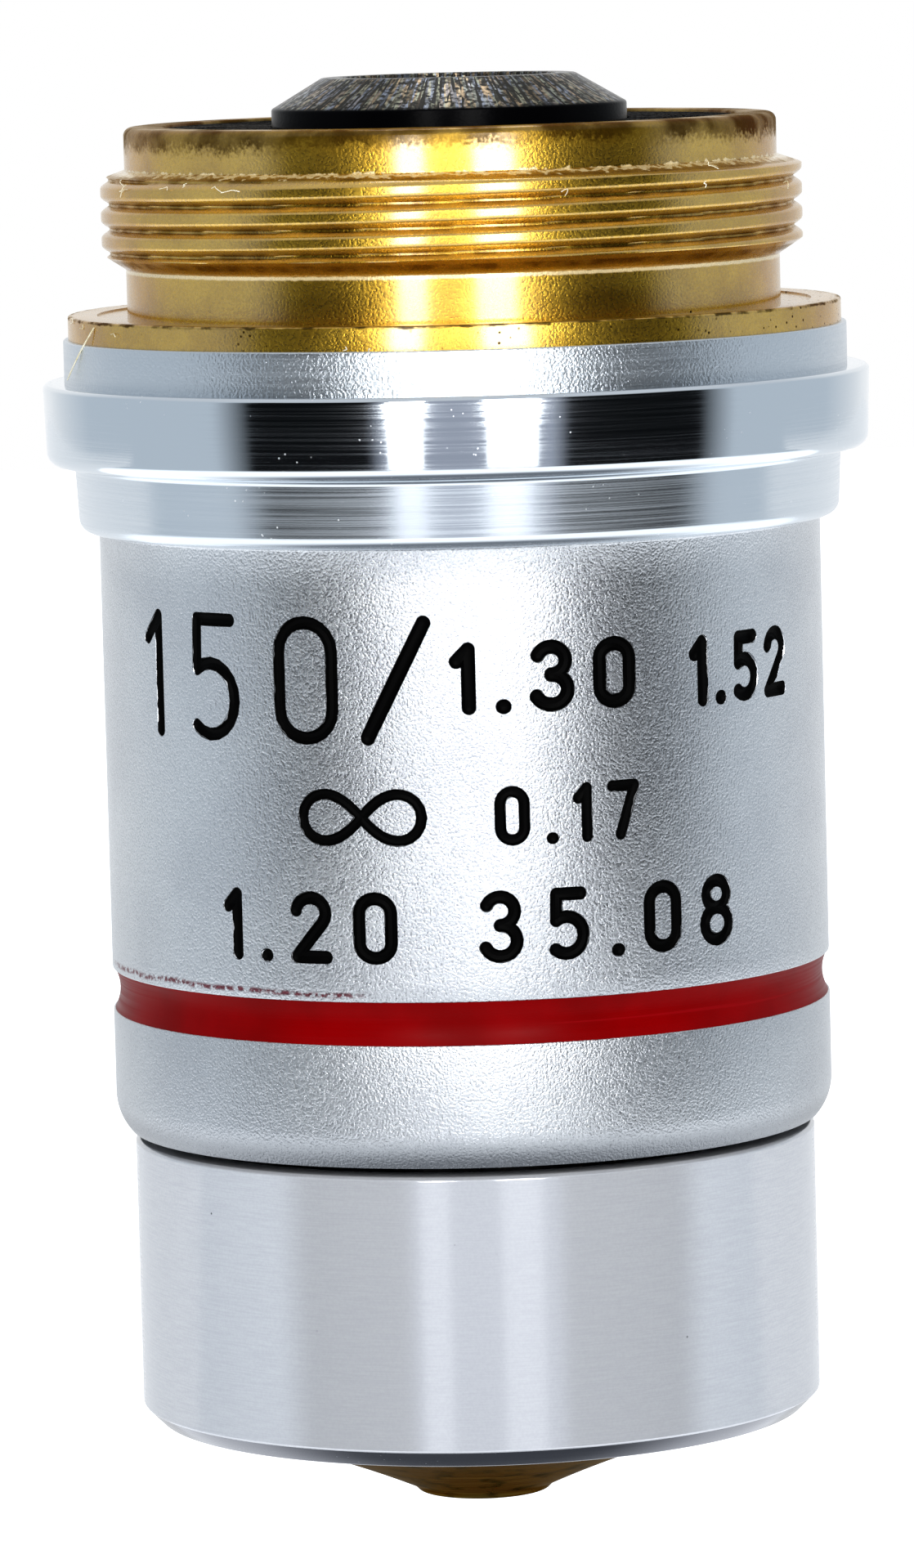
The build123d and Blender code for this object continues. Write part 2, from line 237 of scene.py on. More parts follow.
class Surface:
    """The node tree of one material, with the coordinates that turned metal needs."""

    def __init__(self, name: str) -> None:
        """Makes an empty material with a Principled shader.

        Args:
            name: The material's name.
        """
        self.material = bpy.data.materials.new(name)
        self.material.use_nodes = True
        self.tree = self.material.node_tree
        self.shader = self.tree.nodes["Principled BSDF"]
        self.place = self.add("TexCoord").output("Object")
        parts = self.add("SeparateXYZ", self.place)
        self.x, self.y, self.z = (parts.output(i) for i in range(3))
        self.flat = self.add("CombineXYZ", self.x, self.y)
        self.radius = self.add("VectorMath", self.flat, operation="LENGTH")
        self.around = self.add("VectorMath", (0, 0, 1), self.place, operation="CROSS_PRODUCT")

    def add(self, kind: str, *values: Any, **named: Any) -> Value:
        """Adds a node to this material, as add_node does."""
        return add_node(self.tree, kind, *values, **named)

    def turning(self, spacing: float, length: float, detail: float = 2.0) -> Value:
        """Gives the noise of lathe lines, which run round the axis on walls, cones and flat faces.

        Args:
            spacing: Millimetres from line to line.
            length: About how far a line runs before it changes, in millimetres.
            detail: Octaves of finer noise.

        Returns:
            The noise, from 0 to 1.
        """
        across = (self.z + self.radius) * (length / spacing)
        stretched = self.add("CombineXYZ", self.x, self.y, across)
        return self.add("TexNoise", Vector=stretched, Scale=1 / (length * MM), Detail=detail)

    def specks(self, spacing: float, size: float) -> Value:
        """Gives scattered round specks with soft edges.

        Args:
            spacing: About how far apart they are, in millimetres.
            size: Their radius in millimetres.

        Returns:
            A mask that is 1 in a speck and 0 between.
        """
        cells = self.add("TexVoronoi", Vector=self.place, Scale=1 / (spacing * MM))
        return self.add("MapRange", cells, size / spacing, 0.6 * size / spacing, **SOFT)

    def lathe_shine(self, share: float) -> dict[str, Any]:
        """Gives the sockets that draw a reflection out across lathe lines.

        Args:
            share: How far the shine is drawn out, from 0 to 1.

        Returns:
            Socket names and values for `finish`.
        """
        return {"Anisotropic": share, "Anisotropic_Rotation": 0.25, "Tangent": self.around}

    def finish(self, **sockets: Any) -> bpy.types.Material:
        """Fills the shader's sockets, by name with underscores for spaces.

        Args:
            **sockets: A number, a hex colour or a value for each.

        Returns:
            The finished material.
        """
        for name, value in sockets.items():
            fill(self.shader.inputs[name.replace("_", " ")], value)
        return self.material


# Finishes


@dataclass(frozen=True)
class TurnedBrass:
    """Bare brass off the lathe: golden, with brown tarnish on the rim and dark specks on the flange."""

    colour: str = "#D9AE36"
    deep_colour: str = "#C09526"
    edge_colour: str = "#C6AA52"
    tarnish_colour: str = "#3A2506"
    speck_colour: str = "#2A1C08"
    # Pale cream of the painted highlights along the burr and the thread's run-out
    burr_highlight_colour: str = "#F4E3B5"
    # Painted shade colour of the thread's roots
    root_shade_colour: str = "#5A3E0C"
    root_radius: float = 9.98
    root_fade: float = 0.1
    thread_range: tuple[float, float] = (1.4, 4.1)
    grain: float = 0.075
    grain_depth: float = 0.012
    pilot_radius: float = 9.42
    tarnish_height: float = 4.9
    tarnish_sag: float = 0.14
    tarnish_ragged: float = 0.30
    tarnish_lump: float = 0.9
    tarnish_soft: float = 0.22
    # Height, half width and raggedness of the lines round the ring
    burr_highlight_line: tuple[float, float, float] = (4.12, 0.07, 0.4)
    run_out_highlight_line: tuple[float, float, float] = (1.26, 0.08, 0.06)
    rim_line: tuple[float, float, float] = (-0.03, 0.07, 0.12)
    rim_radii: tuple[float, float] = (11.0, 11.1)
    speck_top: tuple[float, float] = (0.08, 0.03)
    speck_spacing: float = 0.24
    speck_size: float = 0.05
    stray_size: float = 0.25
    spot_size: float = 0.12
    spot_reach: float = 0.8
    patch_size: float = 1.6
    lean_size: float = 1.8
    lean_right: float = 0.012
    break_size: float = 0.6
    root_shade_breakup_size: float = 0.7
    cast_size: float = 1.4
    coat: float = 0.8
    coat_roughness: float = 0.15
    coat_ior: float = 2.0

    def edge_line(self, s: Surface, height: float, width: float, ragged: float) -> Value:
        """Gives a ragged line round the ring.

        Args:
            s: The brass's surface.
            height: The line's height.
            width: Its half width.
            ragged: How far it strays up and down.

        Returns:
            A mask that is 1 on the line and 0 beside it.
        """
        wander = s.add("TexNoise", Vector=s.place, Scale=1 / (self.stray_size * MM), Detail=4.0)
        stray = (wander - 0.5) * (ragged * MM)
        off = abs(s.z + stray - height * MM)
        return s.add("MapRange", off, width * MM, 0.3 * width * MM, **SOFT)

    def material(self) -> bpy.types.Material:
        """Builds the brass of the threaded mount."""
        # Gives the eye warm gold with crisp highlights, broken by a fine grain and by brown along the edges.
        # Two pale lines are painted highlights, and the thread's roots hold painted shade
        # The grain is drawn coarser than the real lathe marks, so that it shows
        s = Surface("turned_brass")
        grain = s.add("TexNoise", Vector=s.place, Scale=1 / (self.grain * MM), Detail=3.0)
        side = (s.x / (self.pilot_radius * MM)) ** 2.0
        blotch = s.add("TexNoise", Vector=s.place, Scale=1 / (self.tarnish_lump * MM), Detail=5.0) - 0.5
        reach = blotch * (2 * self.tarnish_ragged * MM)
        reach = reach + side * (self.tarnish_sag * MM)
        spots = s.add("TexNoise", Vector=s.place, Scale=1 / (self.spot_size * MM), Detail=3.0)
        spots = (spots - 0.5) * (self.spot_reach * MM)
        edge = s.z + (reach + spots)
        start = (self.tarnish_height - self.tarnish_soft) * MM
        end = (self.tarnish_height + self.tarnish_soft) * MM
        tarnish = s.add("MapRange", edge, start, end, 0.0, 0.95, **SOFT)
        patches = s.add("TexNoise", Vector=s.place, Scale=1 / (self.patch_size * MM), Detail=4.0)
        tarnish = tarnish * s.add("MapRange", patches, 0.32, 0.62, 0.55, 1.0, **SOFT)
        low = s.add("MapRange", s.z, *(height * MM for height in self.speck_top), **SOFT)
        leaning = s.add("TexNoise", Vector=s.place, Scale=1 / (self.lean_size * MM), Detail=3.0)
        leaning = leaning + s.x * (self.lean_right / MM)
        dark = s.specks(self.speck_spacing, self.speck_size) * low
        dark = dark * s.add("MapRange", leaning, 0.42, 0.6, **SOFT)
        rim = self.edge_line(s, *self.rim_line)
        rim = rim * s.add("MapRange", s.radius, *(radius * MM for radius in self.rim_radii), **SOFT)
        breaks = s.add("TexNoise", Vector=s.place, Scale=1 / (self.break_size * MM), Detail=4.0)
        rim = rim * s.add("MapRange", breaks, 0.4, 0.6, 0.1, 0.9, **SOFT)
        dark = dark | rim
        # The pale line along the real burr at the thread's start is a painted highlight, and the pale line at
        # the run-out is a painted reflection
        burr_highlight = self.edge_line(s, *self.burr_highlight_line) * 0.75
        run_out_highlight = self.edge_line(s, *self.run_out_highlight_line) * 0.8
        pale = burr_highlight | run_out_highlight
        fade = self.root_fade * MM
        # The thread's roots are darkened with painted shade, broken up by noise, and lose the coat there
        root_shade = s.add("MapRange", s.radius, self.root_radius * MM, self.root_radius * MM - fade, **SOFT)
        low_end, high_end = (height * MM for height in self.thread_range)
        root_shade = root_shade * s.add("MapRange", s.z, low_end, low_end + fade, **SOFT)
        root_shade = root_shade * s.add("MapRange", s.z, high_end, high_end - fade, **SOFT)
        root_shade_breakup = s.add("TexNoise", Vector=s.place, Scale=1 / (self.root_shade_breakup_size * MM), Detail=4.0)
        root_shade = root_shade * s.add("MapRange", root_shade_breakup, 0.35, 0.65, 0.25, 0.75, **SOFT)
        cast = s.add("TexNoise", Vector=s.place, Scale=1 / (self.cast_size * MM), Detail=3.0)
        cast = s.add("MapRange", cast, 0.3, 0.75, **SOFT)
        base = s.add("Mix", cast, self.colour, self.deep_colour, **COLOURS)
        grit = s.add("MapRange", grain, 0.35, 0.7, 0.0, 0.2, **SOFT)
        base = s.add("Mix", grit, base, self.tarnish_colour, **COLOURS)
        base = s.add("Mix", root_shade, base, self.root_shade_colour, **COLOURS)
        base = s.add("Mix", pale, base, self.burr_highlight_colour, **COLOURS)
        base = s.add("Mix", tarnish, base, self.tarnish_colour, **COLOURS)
        base = s.add("Mix", dark, base, self.speck_colour, **COLOURS)
        dull = tarnish | dark
        rough = dull * 0.2 + s.add("MapRange", grain, 0.3, 0.7, 0.25, 0.33, **SOFT)
        coat = (1.0 - (dull | root_shade)) * self.coat
        return s.finish(
            Base_Color=base,
            Metallic=1.0 - pale * 0.8,
            Roughness=rough,
            Normal=s.add("Bump", Height=grain, Distance=self.grain_depth * MM),
            Coat_Weight=coat,
            Specular_Tint=self.edge_colour,
            Coat_Roughness=self.coat_roughness,
            Coat_IOR=self.coat_ior,
            **s.lathe_shine(0.35),
        )


@dataclass(frozen=True)
class BlastedChrome:
    """Chrome over bead-blasted brass: satin, with the sparkle of thousands of tiny dimples."""

    colour: str = "#D0D3D6"
    dull_colour: str = "#C6C9CD"
    # Grey of the painted shade low on the sleeve and in the dimples' hollows
    pit_and_shade_colour: str = "#8C9094"
    # Painted shade colour of the rounded lip
    lip_shade_colour: str = "#8A8D91"
    scuff_colour: str = "#611C29"
    dirt_colour: str = "#3A3430"
    grain: float = 0.07
    dimple: float = 0.0205
    scuff_height: float = -18.70
    scuff_width: float = 0.12
    lip_bottom: float = -24.0
    lip_height: float = 1.05
    lip_shade_shares: tuple[float, float] = (1.0, 0.2)
    dull_from: float = -13.0
    dull_to: float = -20.5
    lower_shade_depth: float = 0.14
    handled_rough: float = 0.05
    handled_deep: float = 1.6
    scuff_side: tuple[float, float] = (-2.6, -3.6)
    scuff_front: tuple[float, float] = (-1.0, -3.0)
    rag_size: float = 0.16
    waver_size: float = 1.8
    waver_reach: float = 0.25
    cloud_size: float = 3.5
    dirt_patch: float = 5.0
    dirt_spacing: float = 1.9
    dirt_size: float = 0.05

    def material(self) -> bpy.types.Material:
        """Builds the satin of the long sleeve, with a red scuff over the band and a few dirt specks."""
        # Gives the eye a bright satin that sparkles a little and dulls towards the foot, where painted shade
        # darkens it
        # The dimples are drawn coarser than the real grit, so that they show
        s = Surface("blasted_chrome")
        dimples = s.add("TexNoise", Vector=s.place, Scale=1 / (self.grain * MM), Detail=3.0)
        ragged = s.add("TexNoise", Vector=s.place, Scale=1 / (self.rag_size * MM), Detail=4.0)
        waver = s.add("TexNoise", Vector=s.place, Scale=1 / (self.waver_size * MM), Detail=2.0)
        waver = (waver - 0.5) * (self.waver_reach * MM)
        off = abs(s.z + waver - self.scuff_height * MM)
        line = s.add("MapRange", off, self.scuff_width * MM, 0.2 * self.scuff_width * MM, **SOFT)
        side = s.add("MapRange", s.x, *(edge * MM for edge in self.scuff_side), **SOFT)
        side = side * s.add("MapRange", s.y, *(edge * MM for edge in self.scuff_front), **SOFT)
        scuff = line * side * s.add("MapRange", ragged, 0.38, 0.56, 0.0, 0.95, **SOFT)
        cloud = s.add("TexNoise", Vector=s.place, Scale=1 / (self.cloud_size * MM), Detail=3.0)
        cloud = s.add("MapRange", cloud, 0.35, 0.7, **SOFT)
        base = s.add("Mix", cloud, self.colour, self.dull_colour, **COLOURS)
        # Darker towards the foot: painted shade where the lamps light the sleeve less; it also grows rougher
        # and more deeply dimpled there
        shaded_and_roughened_zone = (self.dull_from * MM, self.dull_to * MM)
        lower_shade = s.add("MapRange", s.z, *shaded_and_roughened_zone, 0.0, self.lower_shade_depth, **SOFT)
        base = s.add("Mix", lower_shade, base, self.pit_and_shade_colour, **COLOURS)
        # The dimples' hollows are darkened with painted shade, which also gives the grain a tone
        pits = s.add("MapRange", dimples, 0.55, 0.3, 0.0, 0.25, **SOFT)
        base = s.add("Mix", pits, base, self.pit_and_shade_colour, **COLOURS)
        # The rounded lip is darkened with painted shade
        lip_shade_ends = [(self.lip_bottom + share * self.lip_height) * MM for share in self.lip_shade_shares]
        lip = s.add("MapRange", s.z, *lip_shade_ends, **SOFT)
        base = s.add("Mix", lip, base, self.lip_shade_colour, **COLOURS)
        base = s.add("Mix", scuff, base, self.scuff_colour, **COLOURS)
        sparse = s.add("TexNoise", Vector=s.place, Scale=1 / (self.dirt_patch * MM), Detail=1.0)
        dirt = s.specks(self.dirt_spacing, self.dirt_size) * s.add("MapRange", sparse, 0.62, 0.68, **SOFT)
        base = s.add("Mix", dirt, base, self.dirt_colour, **COLOURS)
        rough = s.add("MapRange", dimples, 0.3, 0.7, 0.22, 0.3, **SOFT)
        rough = rough + s.add("MapRange", s.z, *shaded_and_roughened_zone, 0.0, self.handled_rough, **SOFT)
        deeper = s.add("MapRange", s.z, *shaded_and_roughened_zone, 1.0, self.handled_deep, **SOFT)
        normal = s.add("Bump", Height=dimples * deeper, Distance=self.dimple * MM)
        return s.finish(Base_Color=base, Metallic=1.0, Roughness=rough, Normal=normal)


@dataclass(frozen=True)
class PolishedChrome:
    """Chrome over turned brass: a mirror crossed by fine lathe lines, with dust and rubbed patches."""

    colour: str = "#D2D9DF"
    dust_colour: str = "#EEF0F2"
    line_spacing: float = 0.045
    line_length: float = 9.0
    line_depth: float = 0.0007
    grain_depth: float = 0.0
    roughness: float = 0.06
    spread: float = 0.09
    drawn_out: float = 0.4
    name: str = "polished_chrome"
    dusty: float = 1.0
    dust_patch: float = 1.3
    grain_size: float = 0.08
    dust_spacing: float = 0.22
    dust_size: float = 0.03

    def material(self) -> bpy.types.Material:
        """Builds the chrome of the cap, the raised ring and the step, and the bevel of the nose."""
        # Gives the eye a near mirror with hard light and dark bands
        # The lathe lines are drawn coarser than real, so that they show
        s = Surface(self.name)
        lines = s.turning(self.line_spacing, self.line_length, 3.0)
        drift = s.add("TexNoise", Vector=s.place, Scale=1 / (self.dust_patch * MM), Detail=3.0)
        dust = s.specks(self.dust_spacing, self.dust_size) * s.add("MapRange", drift, 0.52, 0.66, **SOFT)
        dust = s.add("Math", dust, self.dusty, operation="MULTIPLY", use_clamp=True)
        rough = s.add("MapRange", lines, 0.3, 0.7, self.roughness, self.roughness + self.spread, **SOFT)
        rough = rough + dust * 0.45
        base = s.add("Mix", dust, self.colour, self.dust_colour, **COLOURS)
        grain = s.add("TexNoise", Vector=s.place, Scale=1 / (self.grain_size * MM), Detail=2.0)
        normal = s.add("Bump", Height=lines, Distance=self.line_depth * MM)
        normal = s.add("Bump", Height=grain, Distance=self.grain_depth * MM, Normal=normal)
        shine = s.lathe_shine(self.drawn_out)
        return s.finish(Base_Color=base, Metallic=1.0, Roughness=rough, Normal=normal, **shine)


@dataclass(frozen=True)
class EngravingPaint:
    """Black paint wiped into engraved strokes, with a bare bright edge where the wipe took it off."""

    colour: str = "#000000"
    edge_colour: str = "#E4E7EA"
    surface_radius: float = 10.45
    bare_depth: float = 0.02
    bare_ragged: float = 0.14
    wander_size: float = 0.45

    def material(self) -> bpy.types.Material:
        """Builds the paint of the engraved numbers."""
        # Gives the eye matt black figures with a thin bright edge here and there
        s = Surface("engraving_paint")
        wander = s.add("TexNoise", Vector=s.place, Scale=1 / (self.wander_size * MM), Detail=3.0)
        ragged = (wander - 0.5) * (self.bare_ragged * MM)
        depth = self.surface_radius * MM - (s.radius + ragged)
        painted = s.add("MapRange", depth, 0.6 * self.bare_depth * MM, self.bare_depth * MM, **SOFT)
        base = s.add("Mix", painted, self.edge_colour, self.colour, **COLOURS)
        metal = 1.0 - painted
        rough = painted * 0.35 + 0.2
        return s.finish(Base_Color=base, Metallic=metal, Roughness=rough, Specular_IOR_Level=0.03)


@dataclass(frozen=True)
class RedEnamel:
    """Stoved red enamel run into a groove: deep gloss, faint rings and a few rubbed marks."""

    colour: str = "#7C0002"
    deep_colour: str = "#6C0001"
    mark_colour: str = "#8C060C"
    cloud_size: float = 2.2
    ring_spacing: float = 0.09
    ring_length: float = 12.0
    ring_depth: float = 0.003
    specular: float = 0.025

    def material(self) -> bpy.types.Material:
        """Builds the enamel of the colour band."""
        # Gives the eye a deep red with a soft gloss across the hollow
        # The rings are drawn coarser than real, so that they show
        s = Surface("red_enamel")
        rings = s.turning(self.ring_spacing, self.ring_length)
        cloud = s.add("TexNoise", Vector=s.place, Scale=1 / (self.cloud_size * MM), Detail=3.0)
        cloud = s.add("MapRange", cloud, 0.3, 0.7, **SOFT)
        base = s.add("Mix", cloud, self.colour, self.deep_colour, **COLOURS)
        marks = s.add("MapRange", rings, 0.62, 0.74, **SOFT) * 0.5
        base = s.add("Mix", marks, base, self.mark_colour, **COLOURS)
        rough = s.add("MapRange", rings, 0.3, 0.7, 0.28, 0.4, **SOFT)
        normal = s.add("Bump", Height=rings, Distance=self.ring_depth * MM)
        return s.finish(Base_Color=base, Roughness=rough, Specular_IOR_Level=self.specular, Normal=normal)


@dataclass(frozen=True)
class BlackAnodised:
    """Turned aluminium dyed black: lathe lines split the light into tiny coloured glints."""

    colour: str = "#030304"
    # Lighter colour of the cone's face: painted light from above
    lit_face_colour: str = "#030304"
    glint_colours: tuple[str, str, str] = ("#A08A6C", "#808898", "#8E907C")
    line_spacing: float = 0.09
    glint: float = 0.075
    glint_ring: float = 4.4
    glint_length: float = 0.4
    # Height from which the glints and the painted light begin
    lit_face_from: float = -40.0
    specular: float = 0.02
    name: str = "black_anodised"
    shine: float = 0.9
    line_length: float = 0.15
    line_depth: float = 0.004

    def material(self) -> bpy.types.Material:
        """Builds the black of the rear cell, the retainer and the barrel."""
        # Gives the eye near black with a fine coloured sparkle on the cone, whose face carries painted light
        # from above
        # Lines and glints are drawn larger than real, so that they show
        s = Surface(self.name)
        lines = s.turning(self.line_spacing, self.line_length)
        facing = s.add("SeparateXYZ", s.add("VectorMath", s.flat, operation="NORMALIZE"))
        across = [facing.output(i) * (self.glint_ring * MM) for i in (0, 1)]
        along = s.z * (self.glint / self.glint_length)
        streak = s.add("CombineXYZ", *across, along)
        cells = s.add("TexVoronoi", Vector=streak, Scale=1 / (self.glint * MM))
        hue = s.add("SeparateColor", cells.output("Color"))
        warm, cool, green = self.glint_colours
        tint = s.add("Mix", s.add("MapRange", hue.output(0), 0.3, 0.7, **SOFT), warm, cool, **COLOURS)
        tint = s.add("Mix", s.add("MapRange", hue.output(1), 0.5, 0.9, **SOFT), tint, green, **COLOURS)
        spark = s.add("MapRange", lines, 0.36, 0.66, **SOFT)
        spark = spark * s.add("MapRange", hue.output(2), 0.1, 0.8, **SOFT)
        # Above this height the cone's face takes the painted light and the glints
        face = s.add("MapRange", s.z, self.lit_face_from * MM, (self.lit_face_from + 0.1) * MM, **SOFT)
        glint = spark * face * self.shine
        lit_face = s.add("Mix", face, self.colour, self.lit_face_colour, **COLOURS)
        base = s.add("Mix", glint, lit_face, tint, **COLOURS)
        return s.finish(
            Base_Color=base,
            Metallic=glint,
            Roughness=0.3,
            Specular_IOR_Level=self.specular,
            Normal=s.add("Bump", Height=lines, Distance=self.line_depth * MM),
            **s.lathe_shine(0.6),
        )


@dataclass(frozen=True)
class TurnedAluminium:
    """Clear-anodised aluminium, finely turned: pale and soft, with short lines and a few dark pits."""

    colour: str = "#D1D3D7"
    shade_colour: str = "#C7C9CE"
    grain_colour: str = "#B2B5BB"
    pit_and_shade_colour: str = "#33363B"
    fleck_colour: str = "#E9DFA6"
    line_spacing: float = 0.035
    line_length: float = 0.9
    line_depth: float = 0.0005
    roughness: float = 0.15
    grain_size: float = 0.075
    pit_patch: float = 6.0
    fleck_patch: float = 5.0
    pit_spacing: float = 2.0
    pit_size: float = 0.045
    fleck_spacing: float = 1.3
    fleck_size: float = 0.03

    def material(self) -> bpy.types.Material:
        """Builds the satin of the nose sleeve."""
        # Gives the eye a pale, even sheen with soft upright highlights
        # The lines and the grain are drawn coarser than real, so that they show
        s = Surface("turned_aluminium")
        lines = s.turning(self.line_spacing, self.line_length, 2.5)
        streaks = s.add("MapRange", lines, 0.3, 0.75, **SOFT)
        base = s.add("Mix", streaks, self.colour, self.shade_colour, **COLOURS)
        grain = s.add("TexNoise", Vector=s.place, Scale=1 / (self.grain_size * MM), Detail=2.0)
        grain = s.add("MapRange", grain, 0.4, 0.62, 0.0, 0.18, **SOFT)
        base = s.add("Mix", grain, base, self.grain_colour, **COLOURS)
        sparse = s.add("TexNoise", Vector=s.place, Scale=1 / (self.pit_patch * MM), Detail=2.0)
        pits = s.specks(self.pit_spacing, self.pit_size) * s.add("MapRange", sparse, 0.45, 0.6, **SOFT)
        base = s.add("Mix", pits, base, self.pit_and_shade_colour, **COLOURS)
        clusters = s.add("TexNoise", Vector=s.place, Scale=1 / (self.fleck_patch * MM), Detail=1.0)
        flecks = s.add("MapRange", clusters, 0.55, 0.66, **SOFT)
        flecks = s.specks(self.fleck_spacing, self.fleck_size) * flecks
        base = s.add("Mix", flecks, base, self.fleck_colour, **COLOURS)
        rough = s.add("MapRange", lines, 0.3, 0.7, self.roughness - 0.04, self.roughness + 0.05, **SOFT)
        normal = s.add("Bump", Height=lines, Distance=self.line_depth * MM)
        shine = s.lathe_shine(0.5)
        return s.finish(
            Base_Color=base, Metallic=0.4, Roughness=rough, Specular_IOR_Level=0.2, Normal=normal, **shine
        )


@dataclass(frozen=True)
class ShadePaintedBrass:
    """Brass painted a dull olive brown as painted shade, for the tip's underside out of the light, with worn
    rings.
    """

    # Dark olive brown: painted shade
    colour: str = "#69582C"
    worn_colour: str = "#7A6A3E"
    stain_colour: str = "#4A3E1E"
    edge_colour: str = "#78683C"
    stain_size: float = 0.8
    ring_spacing: float = 0.07
    ring_length: float = 2.5
    ring_depth: float = 0.003

    def material(self) -> bpy.types.Material:
        """Builds the brass of the front tip."""
        # Gives the eye a dull olive brown, which is painted shade, with faint worn rings
        # The rings are drawn coarser than real, so that they show
        s = Surface("shade_painted_brass")
        rings = s.turning(self.ring_spacing, self.ring_length, 3.0)
        worn = s.add("MapRange", rings, 0.45, 0.7, **SOFT)
        base = s.add("Mix", worn, self.colour, self.worn_colour, **COLOURS)
        stain = s.add("TexNoise", Vector=s.place, Scale=1 / (self.stain_size * MM), Detail=5.0)
        stain = s.add("MapRange", stain, 0.5, 0.7, **SOFT)
        base = s.add("Mix", stain, base, self.stain_colour, **COLOURS)
        rough = s.add("MapRange", rings, 0.3, 0.7, 0.34, 0.48, **SOFT)
        normal = s.add("Bump", Height=rings, Distance=self.ring_depth * MM)
        tint = self.edge_colour
        return s.finish(Base_Color=base, Metallic=1.0, Roughness=rough, Specular_Tint=tint, Normal=normal)


@dataclass(frozen=True)
class PlainMetal:
    """Machined metal inside the barrel, with lathe or drawing lines."""

    name: str
    colour: str
    worn_colour: str
    roughness: float = 0.28
    line_spacing: float = 0.06
    line_length: float = 3.0
    line_depth: float = 0.002

    def material(self) -> bpy.types.Material:
        """Builds the metal of the hidden cells, rings, pin and spring."""
        # Gives the eye plain turned metal with a brushed sheen
        # The lines are drawn coarser than real, so that they show
        s = Surface(self.name)
        lines = s.turning(self.line_spacing, self.line_length)
        worn = s.add("MapRange", lines, 0.3, 0.75, **SOFT)
        base = s.add("Mix", worn, self.colour, self.worn_colour, **COLOURS)
        rough = s.add("MapRange", lines, 0.3, 0.7, self.roughness, self.roughness + 0.12, **SOFT)
        normal = s.add("Bump", Height=lines, Distance=self.line_depth * MM)
        return s.finish(Base_Color=base, Metallic=1.0, Roughness=rough, Normal=normal)


@dataclass(frozen=True)
class LensGlass:
    """Polished optical glass with a thin coating that tints its reflection."""

    name: str
    colour: str
    coating: str
    ior: float
    mark_size: float = 1.5

    def material(self) -> bpy.types.Material:
        """Builds the glass, with faint polishing marks."""
        # Gives the eye clear glass whose reflection is faintly tinted
        s = Surface(self.name)
        marks = s.add("TexNoise", Vector=s.place, Scale=1 / (self.mark_size * MM), Detail=4.0)
        rough = s.add("MapRange", marks, 0.5, 0.8, 0.0, 0.03, **SOFT)
        return s.finish(
            Base_Color=self.colour,
            Transmission_Weight=1.0,
            IOR=self.ior,
            Roughness=rough,
            Specular_Tint=self.coating,
        )


@dataclass(frozen=True)
class StrawFibre:
    """Stray plant fibre and dust lint: pale straw, matt, darker along its length in places."""

    colour: str = "#F2ECD4"
    shade_colour: str = "#CDBF92"
    shade_length: float = 0.4

    def material(self) -> bpy.types.Material:
        """Builds the fibre."""
        # Gives the eye pale matt threads with darker stretches
        s = Surface("straw_fibre")
        shade = s.add("TexNoise", Vector=s.place, Scale=1 / (self.shade_length * MM), Detail=2.0)
        shade = s.add("MapRange", shade, 0.35, 0.7, **SOFT)
        base = s.add("Mix", shade, self.colour, self.shade_colour, **COLOURS)
        return s.finish(
            Base_Color=base, Roughness=0.7, Subsurface_Weight=0.1, Subsurface_Radius=(MM, MM, MM)
        )


# Modelling helpers


@dataclass(frozen=True)
class Station:
    """One corner of a turned outline, with the radius of its rounding."""

    radius: float
    height: float
    rounding: float = 0.0


def arc_stations(
    centre: tuple[float, float], radius: float, start: float, end: float, count: int
) -> list[Station]:
    """Lays stations along an arc of the outline, both ends included.

    Args:
        centre: Radius and height of the arc's centre.
        radius: The arc's radius.
        start: Angle at the first station in degrees, from the outward direction towards up.
        end: Angle at the last station in degrees.
        count: How many steps the arc has.

    Returns:
        The stations in order.
    """
    angles = [math.radians(start + (end - start) * i / count) for i in range(count + 1)]
    return [Station(centre[0] + radius * math.cos(a), centre[1] + radius * math.sin(a)) for a in angles]


def arc_through(first: Station, middle: Station, last: Station, count: int) -> list[Station]:
    """Lays stations along the arc through three points.

    Args:
        first: Where the arc starts.
        middle: A point on it.
        last: Where it ends.
        count: How many steps it has.

    Returns:
        The stations in order, both ends included.
    """
    (ax, ay), (bx, by), (cx, cy) = [(p.radius, p.height) for p in (first, middle, last)]
    twice_area = 2 * (ax * (by - cy) + bx * (cy - ay) + cx * (ay - by))
    a2, b2, c2 = ax**2 + ay**2, bx**2 + by**2, cx**2 + cy**2
    ux = (a2 * (by - cy) + b2 * (cy - ay) + c2 * (ay - by)) / twice_area
    uy = (a2 * (cx - bx) + b2 * (ax - cx) + c2 * (bx - ax)) / twice_area
    start = math.degrees(math.atan2(ay - uy, ax - ux))
    end = math.degrees(math.atan2(cy - uy, cx - ux))
    turn = (end - start + 180) % 360 - 180
    return arc_stations((ux, uy), math.hypot(ax - ux, ay - uy), start, start + turn, count)


def dome_stations(rim: float, rim_height: float, rise: float, count: int) -> list[Station]:
    """Lays stations over a spherical lens face, from the axis to its rim.

    Args:
        rim: The face's radius at its rim.
        rim_height: The rim's height.
        rise: How far the face stands over its rim at the axis, negative for a hollow face.
        count: How many steps the face has.

    Returns:
        The stations in order.
    """
    sphere = (rim**2 + rise**2) / (2 * abs(rise))
    sag = math.copysign(sphere - math.sqrt(sphere**2 - rim**2 / 4), rise)
    pole = Station(0, rim_height + rise)
    return arc_through(pole, Station(rim / 2, pole.height - sag), Station(rim, rim_height), count)


def deselect() -> None:
    """Clears the selection, so that an operator acts on new work alone."""
    bpy.ops.object.select_all(action="DESELECT")


def activate(piece: bpy.types.Object) -> None:
    """Makes one piece the only selected one."""
    deselect()
    piece.select_set(True)
    bpy.context.view_layer.objects.active = piece


